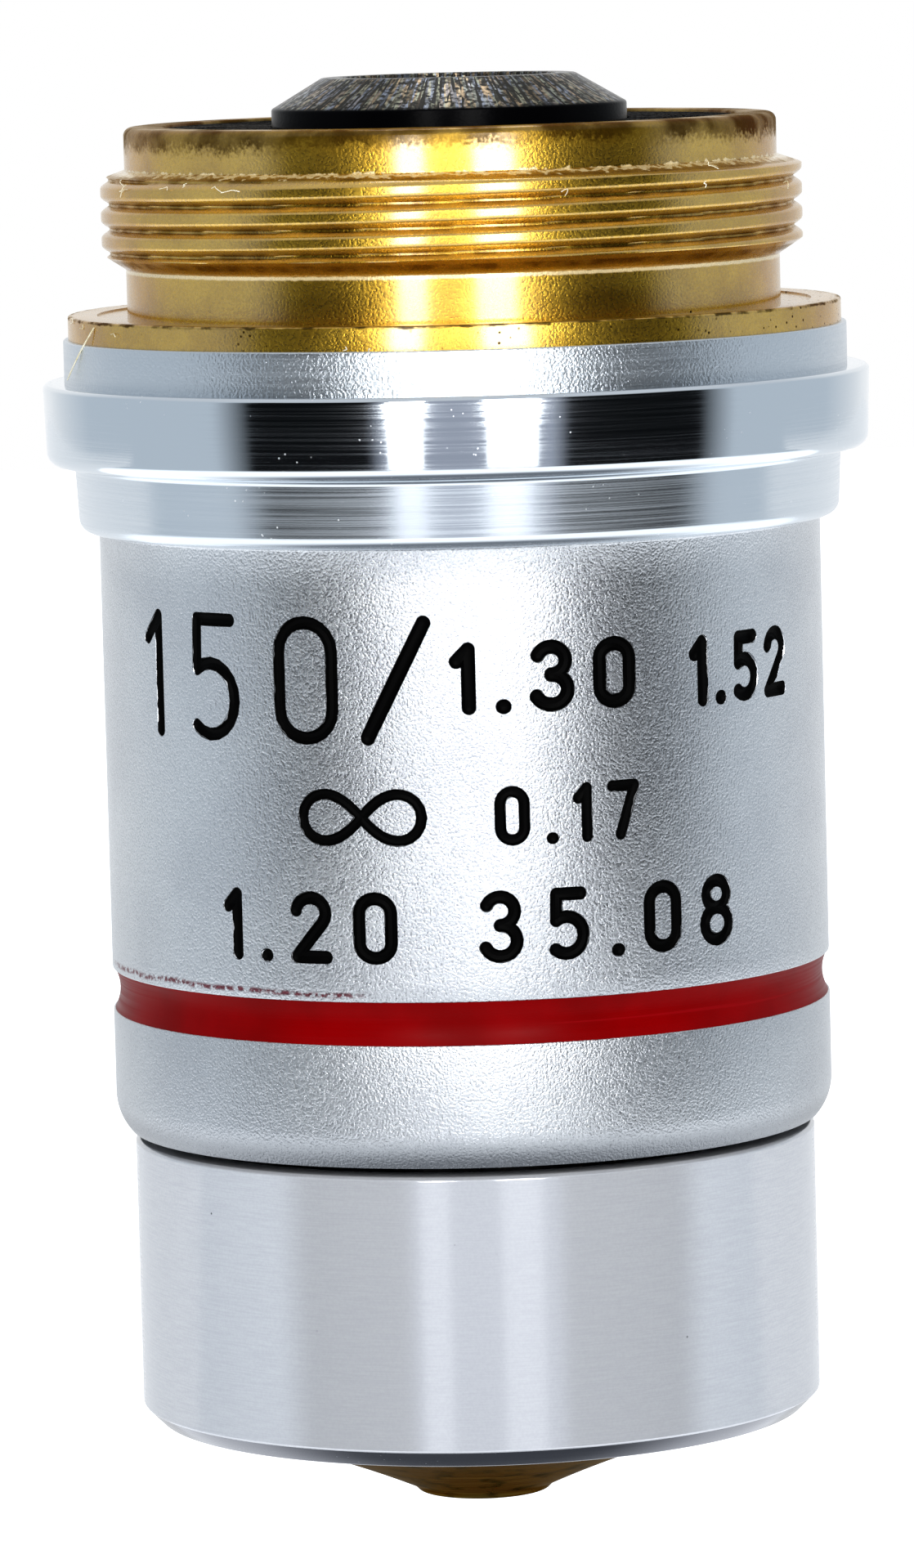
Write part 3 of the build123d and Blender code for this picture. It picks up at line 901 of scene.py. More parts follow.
def select_vertices(piece: bpy.types.Object, test: Callable[[Vector], bool]) -> None:
    """Selects the vertices whose place passes a test, and leaves the piece in edit mode.

    Args:
        piece: The piece, in either mode.
        test: Says whether a place is wanted.
    """
    bpy.ops.object.mode_set(mode="EDIT")
    bpy.ops.mesh.select_all(action="DESELECT")
    bpy.ops.mesh.select_mode(type="VERT")
    bpy.ops.object.mode_set(mode="OBJECT")
    for vertex in piece.data.vertices:
        vertex.select = test(vertex.co)
    bpy.ops.object.mode_set(mode="EDIT")


def turn_piece(name: str, outline: Sequence[Station], segments: int, closed: bool = True) -> bpy.types.Object:
    """Turns an outline about the optical axis, as on a lathe.

    Args:
        name: The piece's name.
        outline: The corners of the half section in order.
        segments: How many steps the turn has.
        closed: Whether the outline runs back to its start, as a ring's does and a lens's doesn't.

    Returns:
        The turned piece, with its corners rounded and its faces outwards.
    """
    deselect()
    bpy.ops.mesh.primitive_plane_add(size=MM, location=(0, 0, 0))
    piece = bpy.context.active_object
    piece.name = piece.data.name = name
    bpy.ops.object.mode_set(mode="EDIT")
    bpy.ops.mesh.select_all(action="SELECT")
    bpy.ops.mesh.merge(type="CENTER")
    points = [Vector((s.radius * MM, 0, s.height * MM)) for s in outline]
    bpy.ops.transform.translate(value=points[0])
    path = points + [points[0]] if closed else points
    for before, after in zip(path, path[1:]):
        bpy.ops.mesh.extrude_region_move(TRANSFORM_OT_translate={"value": after - before})
    bpy.ops.mesh.select_all(action="SELECT")
    bpy.ops.mesh.remove_doubles(threshold=MERGE_DISTANCE)
    for rounding in sorted({s.rounding for s in outline if s.rounding}):
        corners = [p for p, s in zip(points, outline) if s.rounding == rounding]
        select_vertices(piece, lambda co: any((co - c).length < SAME_PLACE for c in corners))
        steps = FINE_STEPS if rounding < FINE_ROUND else ROUND_STEPS
        bpy.ops.mesh.bevel(offset=rounding * MM, offset_type="OFFSET", segments=steps, affect="VERTICES")
    bpy.ops.mesh.select_all(action="SELECT")
    bpy.ops.mesh.spin(steps=segments, angle=math.tau, center=(0, 0, 0), axis=(0, 0, 1))
    bpy.ops.mesh.select_all(action="SELECT")
    bpy.ops.mesh.remove_doubles(threshold=MERGE_DISTANCE)
    bpy.ops.mesh.normals_make_consistent(inside=False)
    bpy.ops.object.mode_set(mode="OBJECT")
    return piece


def apply_modifier(piece: bpy.types.Object, kind: str, **settings: Any) -> None:
    """Adds a modifier to a piece and applies it.

    Args:
        piece: The piece to change.
        kind: Blender's modifier type name.
        **settings: Properties of the modifier.
    """
    activate(piece)
    modifier = piece.modifiers.new(kind.lower(), kind)
    for name, value in settings.items():
        setattr(modifier, name, value)
    bpy.ops.object.modifier_apply(modifier=modifier.name)


def smooth(piece: bpy.types.Object) -> None:
    """Shades a piece smooth between its sharp corners, with flat faces kept flat."""
    activate(piece)
    bpy.ops.object.shade_smooth_by_angle(angle=SMOOTH_ANGLE)
    apply_modifier(piece, "WEIGHTED_NORMAL", keep_sharp=True, weight=FLAT_WEIGHT)


def dress(piece: bpy.types.Object, *materials: bpy.types.Material) -> None:
    """Gives a piece its materials, the first one all over."""
    piece.data.materials.clear()
    for material in materials:
        piece.data.materials.append(material)


def paint_faces(piece: bpy.types.Object, index: int, test: Callable[[Vector], bool]) -> None:
    """Gives the faces whose middle passes a test another of the piece's materials.

    Args:
        piece: The piece to paint.
        index: The material's place in the piece's list.
        test: Says whether a face's middle, in metres, is wanted.
    """
    for face in piece.data.polygons:
        if test(face.center):
            face.material_index = index


def seat(piece: bpy.types.Object, body: Body, slot: Slot, *nodes: str) -> bpy.types.Object:
    """Puts a finished piece on its body and in place of its nodes.

    Args:
        piece: The finished piece.
        body: The body that carries it.
        slot: The record's slot that it takes its finish from. Not used.
        *nodes: The nodes of the frame that it stands for.

    Returns:
        The same piece.
    """
    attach(piece, body.value)
    if nodes:
        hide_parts(*nodes)
    log.info("%s rides on %s with %d faces", piece.name, body.value, len(piece.data.polygons))
    return piece


# Sub-assemblies


@dataclass
class ThreadedMount:
    """Brass ring with the mounting thread, its relief and the flange."""

    thread_radius: float = 10.13
    thread_pitch: float = 25.4 / 36
    thread_depth: float = 0.24
    root_share: float = 0.1
    crest_share: float = 0.26
    relief_radius: float = 9.45
    relief_top: float = 1.31
    thread_bottom: float = 1.76
    thread_top: float = 3.91
    pilot_bottom: float = 4.16
    pilot_radius: float = 9.42
    rim_round: float = 0.24
    seat_radius: float = 10.33
    seat_relief: float = 0.05
    flange_radius: float = 11.18
    flange_height: float = 0.68
    edge_round: float = 0.06
    skirt_radius: float = 10.0
    bore_radius: float = 8.0
    retainer_radius: float = 8.3
    retainer_bottom: float = 4.0
    rows_a_turn: int = 24
    segments: int = 384

    def outline(self) -> list[Station]:
        """Draws the half section, with close rows where the thread is cut."""
        low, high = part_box("thread_mount")
        rim, skirt = high.z / MM, low.z / MM
        rows = round((self.pilot_bottom - self.relief_top) / self.thread_pitch * self.rows_a_turn)
        step = (self.pilot_bottom - self.relief_top) / rows
        heights = [self.pilot_bottom - step * i for i in range(rows + 1)]
        return [
            Station(self.retainer_radius, rim, self.edge_round),
            Station(self.pilot_radius, rim, self.rim_round),
            *[Station(self.envelope(z), z) for z in heights],
            Station(self.relief_radius, -self.seat_relief),
            Station(self.seat_radius, -self.seat_relief),
            Station(self.seat_radius, 0),
            Station(self.flange_radius, 0, self.edge_round),
            Station(self.flange_radius, -self.flange_height),
            Station(self.skirt_radius, -self.flange_height),
            Station(self.skirt_radius, skirt),
            Station(self.bore_radius, skirt),
            Station(self.bore_radius, self.retainer_bottom),
            Station(self.retainer_radius, self.retainer_bottom),
        ]

    def envelope(self, height: float) -> float:
        """Gives the radius of the blank that the thread is cut in.

        Args:
            height: Height over the shoulder.

        Returns:
            The blank's radius there.
        """
        if height > self.thread_top:
            share = (height - self.thread_top) / (self.pilot_bottom - self.thread_top)
            return self.thread_radius + share * (self.pilot_radius - self.thread_radius)
        if height < self.thread_bottom:
            share = (self.thread_bottom - height) / (self.thread_bottom - self.relief_top)
            return self.thread_radius + share * (self.relief_radius - self.thread_radius)
        return self.thread_radius

    def groove(self, turn: float, height: float) -> float:
        """Gives the radius of the thread, a right-handed helix with worn crests and narrow flat roots.

        Args:
            turn: Angle round the axis in radians.
            height: Height over the shoulder.

        Returns:
            The radius of the cut thread there.
        """
        phase = (height / self.thread_pitch - turn / math.tau) % 1.0
        off_crest = (abs(2 * phase - 1) - self.crest_share) / (1 - self.root_share - self.crest_share)
        off_crest = min(1.0, max(0.0, off_crest))
        return self.thread_radius - self.thread_depth * (1 - math.cos(off_crest * math.pi / 2))

    def cut_thread(self, piece: bpy.types.Object) -> None:
        """Presses the rows of the blank in along the helix, which no turned outline can give."""
        for vertex in piece.data.vertices:
            height = vertex.co.z / MM
            radius = math.hypot(vertex.co.x, vertex.co.y) / MM
            outside = radius > self.retainer_radius + self.edge_round
            if outside and self.relief_top < height < self.pilot_bottom:
                turn = math.atan2(vertex.co.y, vertex.co.x)
                share = min(1.0, self.groove(turn, height) / radius)
                vertex.co.x *= share
                vertex.co.y *= share

    def build(self) -> bpy.types.Object:
        """Turns the blank, cuts the thread and dresses it in brass."""
        piece = turn_piece("mount_ring", self.outline(), self.segments)
        self.cut_thread(piece)
        dress(piece, TurnedBrass().material())
        smooth(piece)
        return seat(piece, Body.HOUSING, Slot.THREAD_BRASS, "thread_mount")


class PenStrokes:
    """Single-stroke numbers, drawn in a box one unit tall with round-ended strokes."""

    ARC_STEPS = 10
    FEWEST_STEPS = 4
    LOOP_STEPS = 24
    LOOP_HEIGHT = 1.35

    def arc(
        self, cx: float, cy: float, rx: float, ry: float, start: float, end: float
    ) -> list[tuple[float, float]]:
        """Draws part of an oval.

        Args:
            cx: Its centre across.
            cy: Its centre up.
            rx: Its half width.
            ry: Its half height.
            start: First angle in degrees.
            end: Last angle in degrees.

        Returns:
            Points along it.
        """
        steps = max(self.FEWEST_STEPS, round(self.ARC_STEPS * abs(end - start) / 180))
        angles = [math.radians(start + (end - start) * i / steps) for i in range(steps + 1)]
        return [(cx + rx * math.cos(a), cy + ry * math.sin(a)) for a in angles]

    def strokes(self, sign: str) -> tuple[float, list[list[tuple[float, float]]]]:
        """Gives the width of a sign and its strokes.

        Args:
            sign: A digit, a point, a slash or the infinity sign.

        Returns:
            The width, and the strokes as lists of points.
        """
        if sign == "0":
            loop = self.arc(0.25, 0.75, 0.25, 0.25, 0, 180) + self.arc(0.25, 0.25, 0.25, 0.25, 180, 360)
            return 0.5, [loop + loop[:1]]
        if sign == "1":
            return 0.18, [[(0.0, 0.8), (0.18, 1.0)], [(0.18, 1.0), (0.18, 0.0)]]
        if sign == "2":
            hook = self.arc(0.25, 0.74, 0.25, 0.26, 170, -38)
            return 0.5, [hook + [(0.0, 0.0)], [(0.0, 0.0), (0.5, 0.0)]]
        if sign == "3":
            upper = self.arc(0.24, 0.76, 0.23, 0.24, 155, -90)
            return 0.5, [upper, self.arc(0.24, 0.26, 0.26, 0.26, 90, -155)]
        if sign == "5":
            bowl = self.arc(0.22, 0.31, 0.28, 0.31, 125, -130)
            return 0.5, [[(0.46, 1.0), (0.07, 1.0)], [(0.07, 1.0), bowl[0]], bowl]
        if sign == "7":
            return 0.5, [[(0.0, 1.0), (0.5, 1.0)], [(0.5, 1.0), (0.17, 0.0)]]
        if sign == "8":
            return 0.52, [self.arc(0.26, 0.77, 0.22, 0.23, 0, 360), self.arc(0.26, 0.27, 0.26, 0.27, 0, 360)]
        if sign == "/":
            return 0.48, [[(0.0, 0.0), (0.48, 1.0)]]
        if sign == "∞":
            halves = []
            for start in (0.0, math.pi):
                turns = [start + math.pi * i / self.LOOP_STEPS for i in range(self.LOOP_STEPS + 1)]
                spread = [1 + math.sin(a) ** 2 for a in turns]
                across = [1 + math.cos(a) / s for a, s in zip(turns, spread)]
                up = [0.5 + self.LOOP_HEIGHT * math.sin(a) * math.cos(a) / s for a, s in zip(turns, spread)]
                halves.append(list(zip(across, up)))
            return 2.0, halves
        return 0.0, [[(0.0, 0.0), (0.02, 0.0)]]


@dataclass(frozen=True)
class EngravedLine:
    """One run of engraved signs: its lower left corner, round from the front and up, and its cut."""

    text: str
    start: float
    height: float
    letter: float
    stroke: float
    gap: float
    stretch: float = 1.0


@dataclass
class BodySleeve:
    """Chromed sleeve: cap, raised ring, step, long engraved barrel, band groove and rounded lip."""

    cap_radius: float = 11.33
    cap_height: float = 1.25
    ring_taper: float = 0.08
    ring_height: float = 2.35
    ring_chamfer: float = 0.1
    ring_round: float = 0.36
    ring_fillet: float = 0.16
    step_radius: float = 11.1
    step_taper: float = 0.1
    step_height: float = 1.95
    step_round: float = 0.36
    step_fillet: float = 0.07
    body_radius: float = 10.45
    groove_radius: float = 10.05
    groove_edge: float = 0.04
    lip_height: float = 1.05
    lip_radius: float = 10.05
    nose_bore: float = 10.0
    nose_bore_height: float = 2.02
    guide_bore: float = 9.0
    stop_drop: float = 0.77
    skirt_radius: float = 10.0
    edge_round: float = 0.06
    engraved_top: float = -7.4
    engraved_bottom: float = -18.4
    engraved_rows: int = 26
    lip_steps: int = 10
    segments: int = 512
    pen_share: float = 0.54
    lines: tuple[EngravedLine, ...] = (
        EngravedLine("150", -10.7, -11.52, 3.25, 0.39, 1.55),
        EngravedLine("/", -2.74, -11.49, 3.2, 0.44, 0.5, 1.07),
        EngravedLine("1.30", -0.2, -10.68, 1.62, 0.43, 0.95, 1.12),
        EngravedLine("1.52", 7.0, -10.85, 1.62, 0.42, 0.68),
        EngravedLine("∞", -4.75, -14.42, 1.38, 0.33, 0.4, 1.26),
        EngravedLine("0.17", 0.92, -14.42, 1.36, 0.34, 0.78),
        EngravedLine("1.20", -7.4, -17.68, 1.68, 0.39, 1.0, 1.1),
        EngravedLine("35.08", 0.42, -17.68, 1.68, 0.39, 1.02, 1.06),
    )

    def outline(self) -> list[Station]:
        """Draws the half section from the cap down to the lip and back up the bore."""
        low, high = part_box("body_sleeve")
        top, bottom, ring = high.z / MM, low.z / MM, high.x / MM
        band_low, band_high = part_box("colour_band")
        cap_bottom = top - self.cap_height
        ring_bottom = cap_bottom - self.ring_height
        step_bottom = ring_bottom - self.step_height
        stop_face = step_bottom - self.stop_drop
        lip_drop = self.body_radius - self.lip_radius
        lip_arc = (lip_drop**2 + self.lip_height**2) / (2 * lip_drop)
        lip_turn = math.degrees(math.asin(self.lip_height / lip_arc))
        lip_centre = (self.body_radius - lip_arc, bottom + self.lip_height)
        row = (self.engraved_top - self.engraved_bottom) / self.engraved_rows
        bore_top = bottom + self.nose_bore_height
        return [
            Station(self.skirt_radius, top),
            Station(self.cap_radius, top, self.edge_round),
            Station(self.cap_radius, cap_bottom),
            Station(ring - self.ring_chamfer, cap_bottom, self.groove_edge),
            Station(ring, cap_bottom - self.ring_chamfer, self.groove_edge),
            Station(ring - self.ring_taper, ring_bottom, self.ring_round),
            Station(self.step_radius, ring_bottom, self.ring_fillet),
            Station(self.step_radius - self.step_taper, step_bottom, self.step_round),
            Station(self.body_radius, step_bottom, self.step_fillet),
            *[Station(self.body_radius, self.engraved_top - row * i) for i in range(self.engraved_rows + 1)],
            Station(self.body_radius, band_high.z / MM, self.groove_edge),
            Station(self.groove_radius, band_high.z / MM),
            Station(self.groove_radius, band_low.z / MM),
            Station(self.body_radius, band_low.z / MM, self.groove_edge),
            *arc_stations(lip_centre, lip_arc, 0, -lip_turn, self.lip_steps),
            Station(self.nose_bore, bottom),
            Station(self.nose_bore, bore_top),
            Station(self.guide_bore, bore_top),
            Station(self.guide_bore, stop_face),
            Station(self.skirt_radius, stop_face),
        ]

    def pen_path(self, line: EngravedLine) -> list[list[Vector]]:
        """Wraps the strokes of one line round the sleeve.

        Args:
            line: The signs, with the place of the first one's lower left corner.

        Returns:
            The pen's strokes as lists of places in metres.
        """
        pen = self.pen_share * line.stroke
        lift = math.sqrt(pen**2 - (line.stroke / 2) ** 2)
        across = 0.0
        paths = []
        for sign in line.text:
            width, strokes = PenStrokes().strokes(sign)
            for stroke in strokes:
                places = []
                for u, v in stroke:
                    arc = line.start + across + u * line.letter * line.stretch
                    turn = arc / self.body_radius - math.pi / 2
                    flat = (self.body_radius + lift) * MM
                    height = (line.height + v * line.letter) * MM
                    places.append(Vector((flat * math.cos(turn), flat * math.sin(turn), height)))
                paths.append(places)
            across += width * line.letter * line.stretch + line.gap
        return paths

    def pen_cutter(self, paint: bpy.types.Material) -> bpy.types.Object:
        """Sweeps a round pen along every stroke and unites the sweeps to one cutter.

        Args:
            paint: The paint that the cut faces take.

        Returns:
            The cutter, a closed mesh.
        """
        parts = []
        for line in self.lines:
            for path in self.pen_path(line):
                parts += sweep_pen(path, self.pen_share * line.stroke * MM)
        cutter = parts[0]
        for part in parts[1:]:
            apply_modifier(cutter, "BOOLEAN", operation="UNION", solver="MANIFOLD", object=part)
            bpy.data.objects.remove(part)
        cutter.name = "pen_cutter"
        dress(cutter, paint)
        return cutter

    def engrave(self, piece: bpy.types.Object) -> None:
        """Cuts the numbers out of the sleeve and leaves their faces painted."""
        cutter = self.pen_cutter(EngravingPaint(surface_radius=self.body_radius).material())
        apply_modifier(
            piece,
            "BOOLEAN",
            operation="DIFFERENCE",
            solver="MANIFOLD",
            object=cutter,
            material_mode="TRANSFER",
        )
        bpy.data.objects.remove(cutter)

    def paint_zone(self, piece: bpy.types.Object, index: int, low: float, high: float) -> None:
        """Gives the outside between two heights another of the sleeve's materials.

        Args:
            piece: The sleeve.
            index: The material's place in its list.
            low: The zone's lower end in metres.
            high: Its upper end in metres.
        """
        outside = (self.body_radius - self.edge_round) * MM
        paint_faces(piece, index, lambda c: math.hypot(c.x, c.y) > outside and low < c.z < high)

    def build(self) -> bpy.types.Object:
        """Turns the sleeve, engraves it and dresses its satin and polished zones."""
        piece = turn_piece("chromed_sleeve", self.outline(), self.segments)
        low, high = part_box("body_sleeve")
        cap_bottom = high.z - self.cap_height * MM
        ring_bottom = cap_bottom - self.ring_height * MM
        step_bottom = ring_bottom - self.step_height * MM
        cap_chrome = PolishedChrome(
            name="turned_chrome",
            colour="#C6CDD3",
            line_depth=0.003,
            grain_depth=0.02,
            roughness=0.29,
            drawn_out=0.4,
            dusty=0.3,
        )
        step_chrome = PolishedChrome(
            name="rubbed_chrome",
            line_depth=0.0012,
            roughness=0.15,
            drawn_out=0.0,
            dusty=1.2,
        )
        satin = BlastedChrome(lip_bottom=low.z / MM, lip_height=self.lip_height)
        finishes = (satin, PolishedChrome(), cap_chrome, step_chrome)
        dress(piece, *(finish.material() for finish in finishes))
        # Ring and step are painted together, and the step's own polish is then laid over
        self.paint_zone(piece, 1, step_bottom - MERGE_DISTANCE, cap_bottom + MERGE_DISTANCE)
        paint_faces(piece, 2, lambda c: c.z > cap_bottom + MERGE_DISTANCE)
        self.paint_zone(piece, 3, step_bottom - MERGE_DISTANCE, ring_bottom - MERGE_DISTANCE)
        self.engrave(piece)
        smooth(piece)
        return seat(piece, Body.HOUSING, Slot.SATIN_CHROME, "body_sleeve")


def sweep_pen(path: Sequence[Vector], pen: float) -> list[bpy.types.Object]:
    """Sweeps a ball-ended pen along a path.

    Args:
        path: Places in metres, the last equal to the first for a closed loop.
        pen: The pen's radius in metres.

    Returns:
        The tube and, on an open path, a ball for each end.
    """
    closed = len(path) > 2 and (path[0] - path[-1]).length < SAME_PLACE
    points = path[:-1] if closed else path
    deselect()
    bpy.ops.curve.primitive_bezier_curve_add(location=(0, 0, 0))
    tube = bpy.context.active_object
    tube.data.splines.clear()
    spline = tube.data.splines.new("POLY")
    spline.points.add(len(points) - 1)
    for point, place in zip(spline.points, points):
        point.co = (*place, 1.0)
    spline.use_cyclic_u = closed
    tube.data.dimensions = "3D"
    tube.data.bevel_depth = pen
    tube.data.bevel_resolution = PEN_RESOLUTION
    tube.data.use_fill_caps = not closed
    bpy.ops.object.convert(target="MESH")
    parts = [bpy.context.active_object]
    for end in () if closed else (path[0], path[-1]):
        bpy.ops.mesh.primitive_uv_sphere_add(
            segments=BALL_SEGMENTS, ring_count=BALL_RINGS, radius=pen, location=end
        )
        parts.append(bpy.context.active_object)
    for part in parts:
        activate(part)
        bpy.ops.object.mode_set(mode="EDIT")
        bpy.ops.mesh.select_all(action="SELECT")
        bpy.ops.mesh.remove_doubles(threshold=MERGE_DISTANCE)
        bpy.ops.mesh.normals_make_consistent(inside=False)
        bpy.ops.object.mode_set(mode="OBJECT")
    return parts


@dataclass
class ColourBand:
    """Red enamel in the sleeve's groove, hollow across its face."""

    groove_radius: float = 10.05
    hollow: float = 0.16
    face_steps: int = 10
    segments: int = 384

    def build(self) -> bpy.types.Object:
        """Turns the band and dresses it in enamel."""
        low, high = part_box("colour_band")
        edge, top, bottom = high.x / MM, high.z / MM, low.z / MM
        face = arc_through(
            Station(edge, bottom),
            Station(edge - self.hollow, (top + bottom) / 2),
            Station(edge, top),
            self.face_steps,
        )
        outline = [Station(self.groove_radius, top), Station(self.groove_radius, bottom), *face]
        piece = turn_piece("enamel_band", outline, self.segments)
        dress(piece, RedEnamel().material())
        smooth(piece)
        return seat(piece, Body.HOUSING, Slot.BAND_ENAMEL, "colour_band")


@dataclass
class RearEnd:
    """Black rear cell with its cone, the slotted retainer under it and the lens that shows down the bore."""

    cone_top_radius: float = 3.65
    cone_bottom: float = 5.78
    tube_radius: float = 5.13
    tube_top: float = 4.5
    spigot_radius: float = 4.38
    bore_radius: float = 3.1
    lens_radius: float = 3.6
    lens_seat: float = 1.2
    lens_edge: float = 1.4
    lens_hollow: float = 0.5
    cement_hollow: float = 0.3
    edge_round: float = 0.05
    retainer_bore: float = 5.2
    hole_radius: float = 0.5
    hole_depth: float = 0.7
    hole_sides: int = 48
    face_steps: int = 24
    lens_segments: int = 128
    segments: int = 256

    def build_cell(self) -> bpy.types.Object:
        """Turns the rear cell with its cone."""
        low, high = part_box("rear_cell")
        top, bottom = high.z / MM, low.z / MM
        outline = [
            Station(self.bore_radius, top, self.edge_round),
            Station(self.cone_top_radius, top, self.edge_round),
            Station(self.tube_radius, self.cone_bottom, self.edge_round),
            Station(self.tube_radius, self.tube_top),
            Station(self.spigot_radius, self.tube_top),
            Station(self.spigot_radius, bottom),
            Station(self.lens_radius, bottom),
            Station(self.lens_radius, self.lens_seat),
            Station(self.bore_radius, self.lens_seat),
        ]
        piece = turn_piece("rear_cone", outline, self.segments)
        # The cone's face is painted lighter than the tube below it, as painted light from above
        dress(piece, BlackAnodised(lit_face_from=self.cone_bottom, lit_face_colour="#292825").material())
        smooth(piece)
        return seat(piece, Body.NOSE, Slot.BLACK_ANODISED, "rear_cell")

    def build_retainer(self) -> bpy.types.Object:
        """Turns the retainer and drills its two spanner holes."""
        low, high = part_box("spring_retainer")
        radius, top, bottom = high.x / MM, high.z / MM, low.z / MM
        outline = [
            Station(self.retainer_bore, bottom),
            Station(radius, bottom),
            Station(radius, top, self.edge_round),
            Station(self.retainer_bore, top, self.edge_round),
        ]
        piece = turn_piece("slotted_retainer", outline, self.segments)
        dress(piece, BlackAnodised(name="black_retainer", shine=0.12, specular=0.0).material())
        for side in (-1, 1):
            deselect()
            bpy.ops.mesh.primitive_cylinder_add(
                vertices=self.hole_sides,
                radius=self.hole_radius * MM,
                depth=2 * self.hole_depth * MM,
                location=(side * (self.retainer_bore + radius) / 2 * MM, 0, top * MM),
            )
            drill = bpy.context.active_object
            apply_modifier(piece, "BOOLEAN", operation="DIFFERENCE", solver="EXACT", object=drill)
            bpy.data.objects.remove(drill)
        smooth(piece)
        return seat(piece, Body.HOUSING, Slot.BLACK_ANODISED, "spring_retainer")

    def build_lens(self, glass: bpy.types.Material) -> bpy.types.Object:
        """Turns the rear lens, hollow on both faces.

        Args:
            glass: The lens's material.

        Returns:
            The seated lens.
        """
        cement = self.lens_seat - self.lens_edge
        upper = dome_stations(self.lens_radius, self.lens_seat, -self.lens_hollow, self.face_steps)
        lower = dome_stations(self.lens_radius, cement, self.cement_hollow, self.face_steps)
        piece = turn_piece("rear_lens", [*upper, *reversed(lower)], self.lens_segments, closed=False)
        dress(piece, glass)
        smooth(piece)
        return seat(piece, Body.NOSE, Slot.FLINT_GLASS, "rear_flint")


@dataclass
class NoseEnd:
    """Pale nose sleeve and the brass tip, painted dark as shade, with the front lens in it."""

    barrel_radius: float = 8.96
    floor: float = 1.0
    bevel: float = 0.5
    edge: float = 0.1
    edge_round: float = 0.05
    floor_bore: float = 8.25
    flare_radius: float = 8.2
    flare_hollow: float = 0.14
    tip_radius: float = 1.9
    tip_chamfer: float = 0.18
    spigot_radius: float = 6.2
    meniscus_radius: float = 3.2
    meniscus_bottom: float = -31.79
    seat_lip: float = 0.5
    lens_radius: float = 1.35
    lens_flat: float = 1.15
    lens_sink: float = 0.05
    lens_grip: float = 0.3
    flare_steps: int = 24
    ball_steps: int = 32
    lens_segments: int = 96
    segments: int = 384

    def build_sleeve(self) -> bpy.types.Object:
        """Turns the nose sleeve."""
        low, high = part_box("nose_sleeve")
        radius, top, bottom = high.x / MM, high.z / MM, low.z / MM
        outline = [
            Station(self.barrel_radius, top),
            Station(radius - self.edge, top, 0.6 * self.edge_round),
            Station(radius, top - self.edge, 0.6 * self.edge_round),
            Station(radius, bottom + self.bevel, 0.8 * self.edge_round),
            Station(radius - self.bevel, bottom, self.edge_round),
            Station(self.floor_bore, bottom),
            Station(self.floor_bore, bottom + self.floor),
            Station(self.barrel_radius, bottom + self.floor),
        ]
        piece = turn_piece("nose_shell", outline, self.segments)
        # The bevel is polished, and its dark grey colour is painted shade for the dark below that it faces
        polish = PolishedChrome(name="bevel_painted_shade", colour="#6F7076", roughness=0.16, dusty=0.2)
        dress(piece, TurnedAluminium().material(), polish.material())
        bevel_top = (bottom + self.bevel + self.edge_round) * MM
        paint_faces(piece, 1, lambda c: c.z < bevel_top - self.edge * MM)
        smooth(piece)
        return seat(piece, Body.NOSE, Slot.NOSE_ALUMINIUM, "nose_sleeve")

    def build_tip(self) -> bpy.types.Object:
        """Turns the trumpet-shaped front cell."""
        low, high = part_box("front_cell")
        top, bottom = high.z / MM, low.z / MM
        nose_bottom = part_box("nose_sleeve")[0].z / MM
        shoulder = nose_bottom + self.floor
        tip = Station(self.tip_radius + self.tip_chamfer, bottom + self.tip_chamfer)
        flare = Station(self.flare_radius, nose_bottom)
        middle = Station(
            (flare.radius + tip.radius) / 2,
            (flare.height + tip.height) / 2 + self.flare_hollow,
        )
        centre = bottom + self.lens_sink + math.sqrt(self.lens_radius**2 - self.lens_flat**2)
        outline = [
            Station(self.spigot_radius, top),
            Station(self.spigot_radius, shoulder),
            Station(self.flare_radius, shoulder),
            *arc_through(flare, middle, tip, self.flare_steps),
            Station(self.tip_radius, bottom, self.edge_round),
            Station(self.lens_radius, bottom),
            Station(self.lens_radius, centre + self.lens_grip),
            Station(self.meniscus_radius - self.seat_lip, self.meniscus_bottom),
            Station(self.meniscus_radius, self.meniscus_bottom),
            Station(self.meniscus_radius, top),
        ]
        piece = turn_piece("brass_tip", outline, self.segments)
        # The tip's dark colour is painted shade
        dress(piece, ShadePaintedBrass().material())
        smooth(piece)
        return seat(piece, Body.NOSE, Slot.TIP_BRASS, "front_cell")

    def build_lens(self, glass: bpy.types.Material) -> bpy.types.Object:
        """Turns the front lens, most of a ball with a flat.

        Args:
            glass: The lens's material.

        Returns:
            The seated lens.
        """
        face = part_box("front_lens")[0].z / MM
        centre = face + math.sqrt(self.lens_radius**2 - self.lens_flat**2)
        flat_turn = -math.degrees(math.acos(self.lens_flat / self.lens_radius))
        ball = arc_stations((0, centre), self.lens_radius, 90, flat_turn, self.ball_steps)
        piece = turn_piece("front_ball", [*ball, Station(0, face)], self.lens_segments, closed=False)
        dress(piece, glass)
        smooth(piece)
        return seat(piece, Body.NOSE, Slot.CROWN_GLASS, "front_lens")


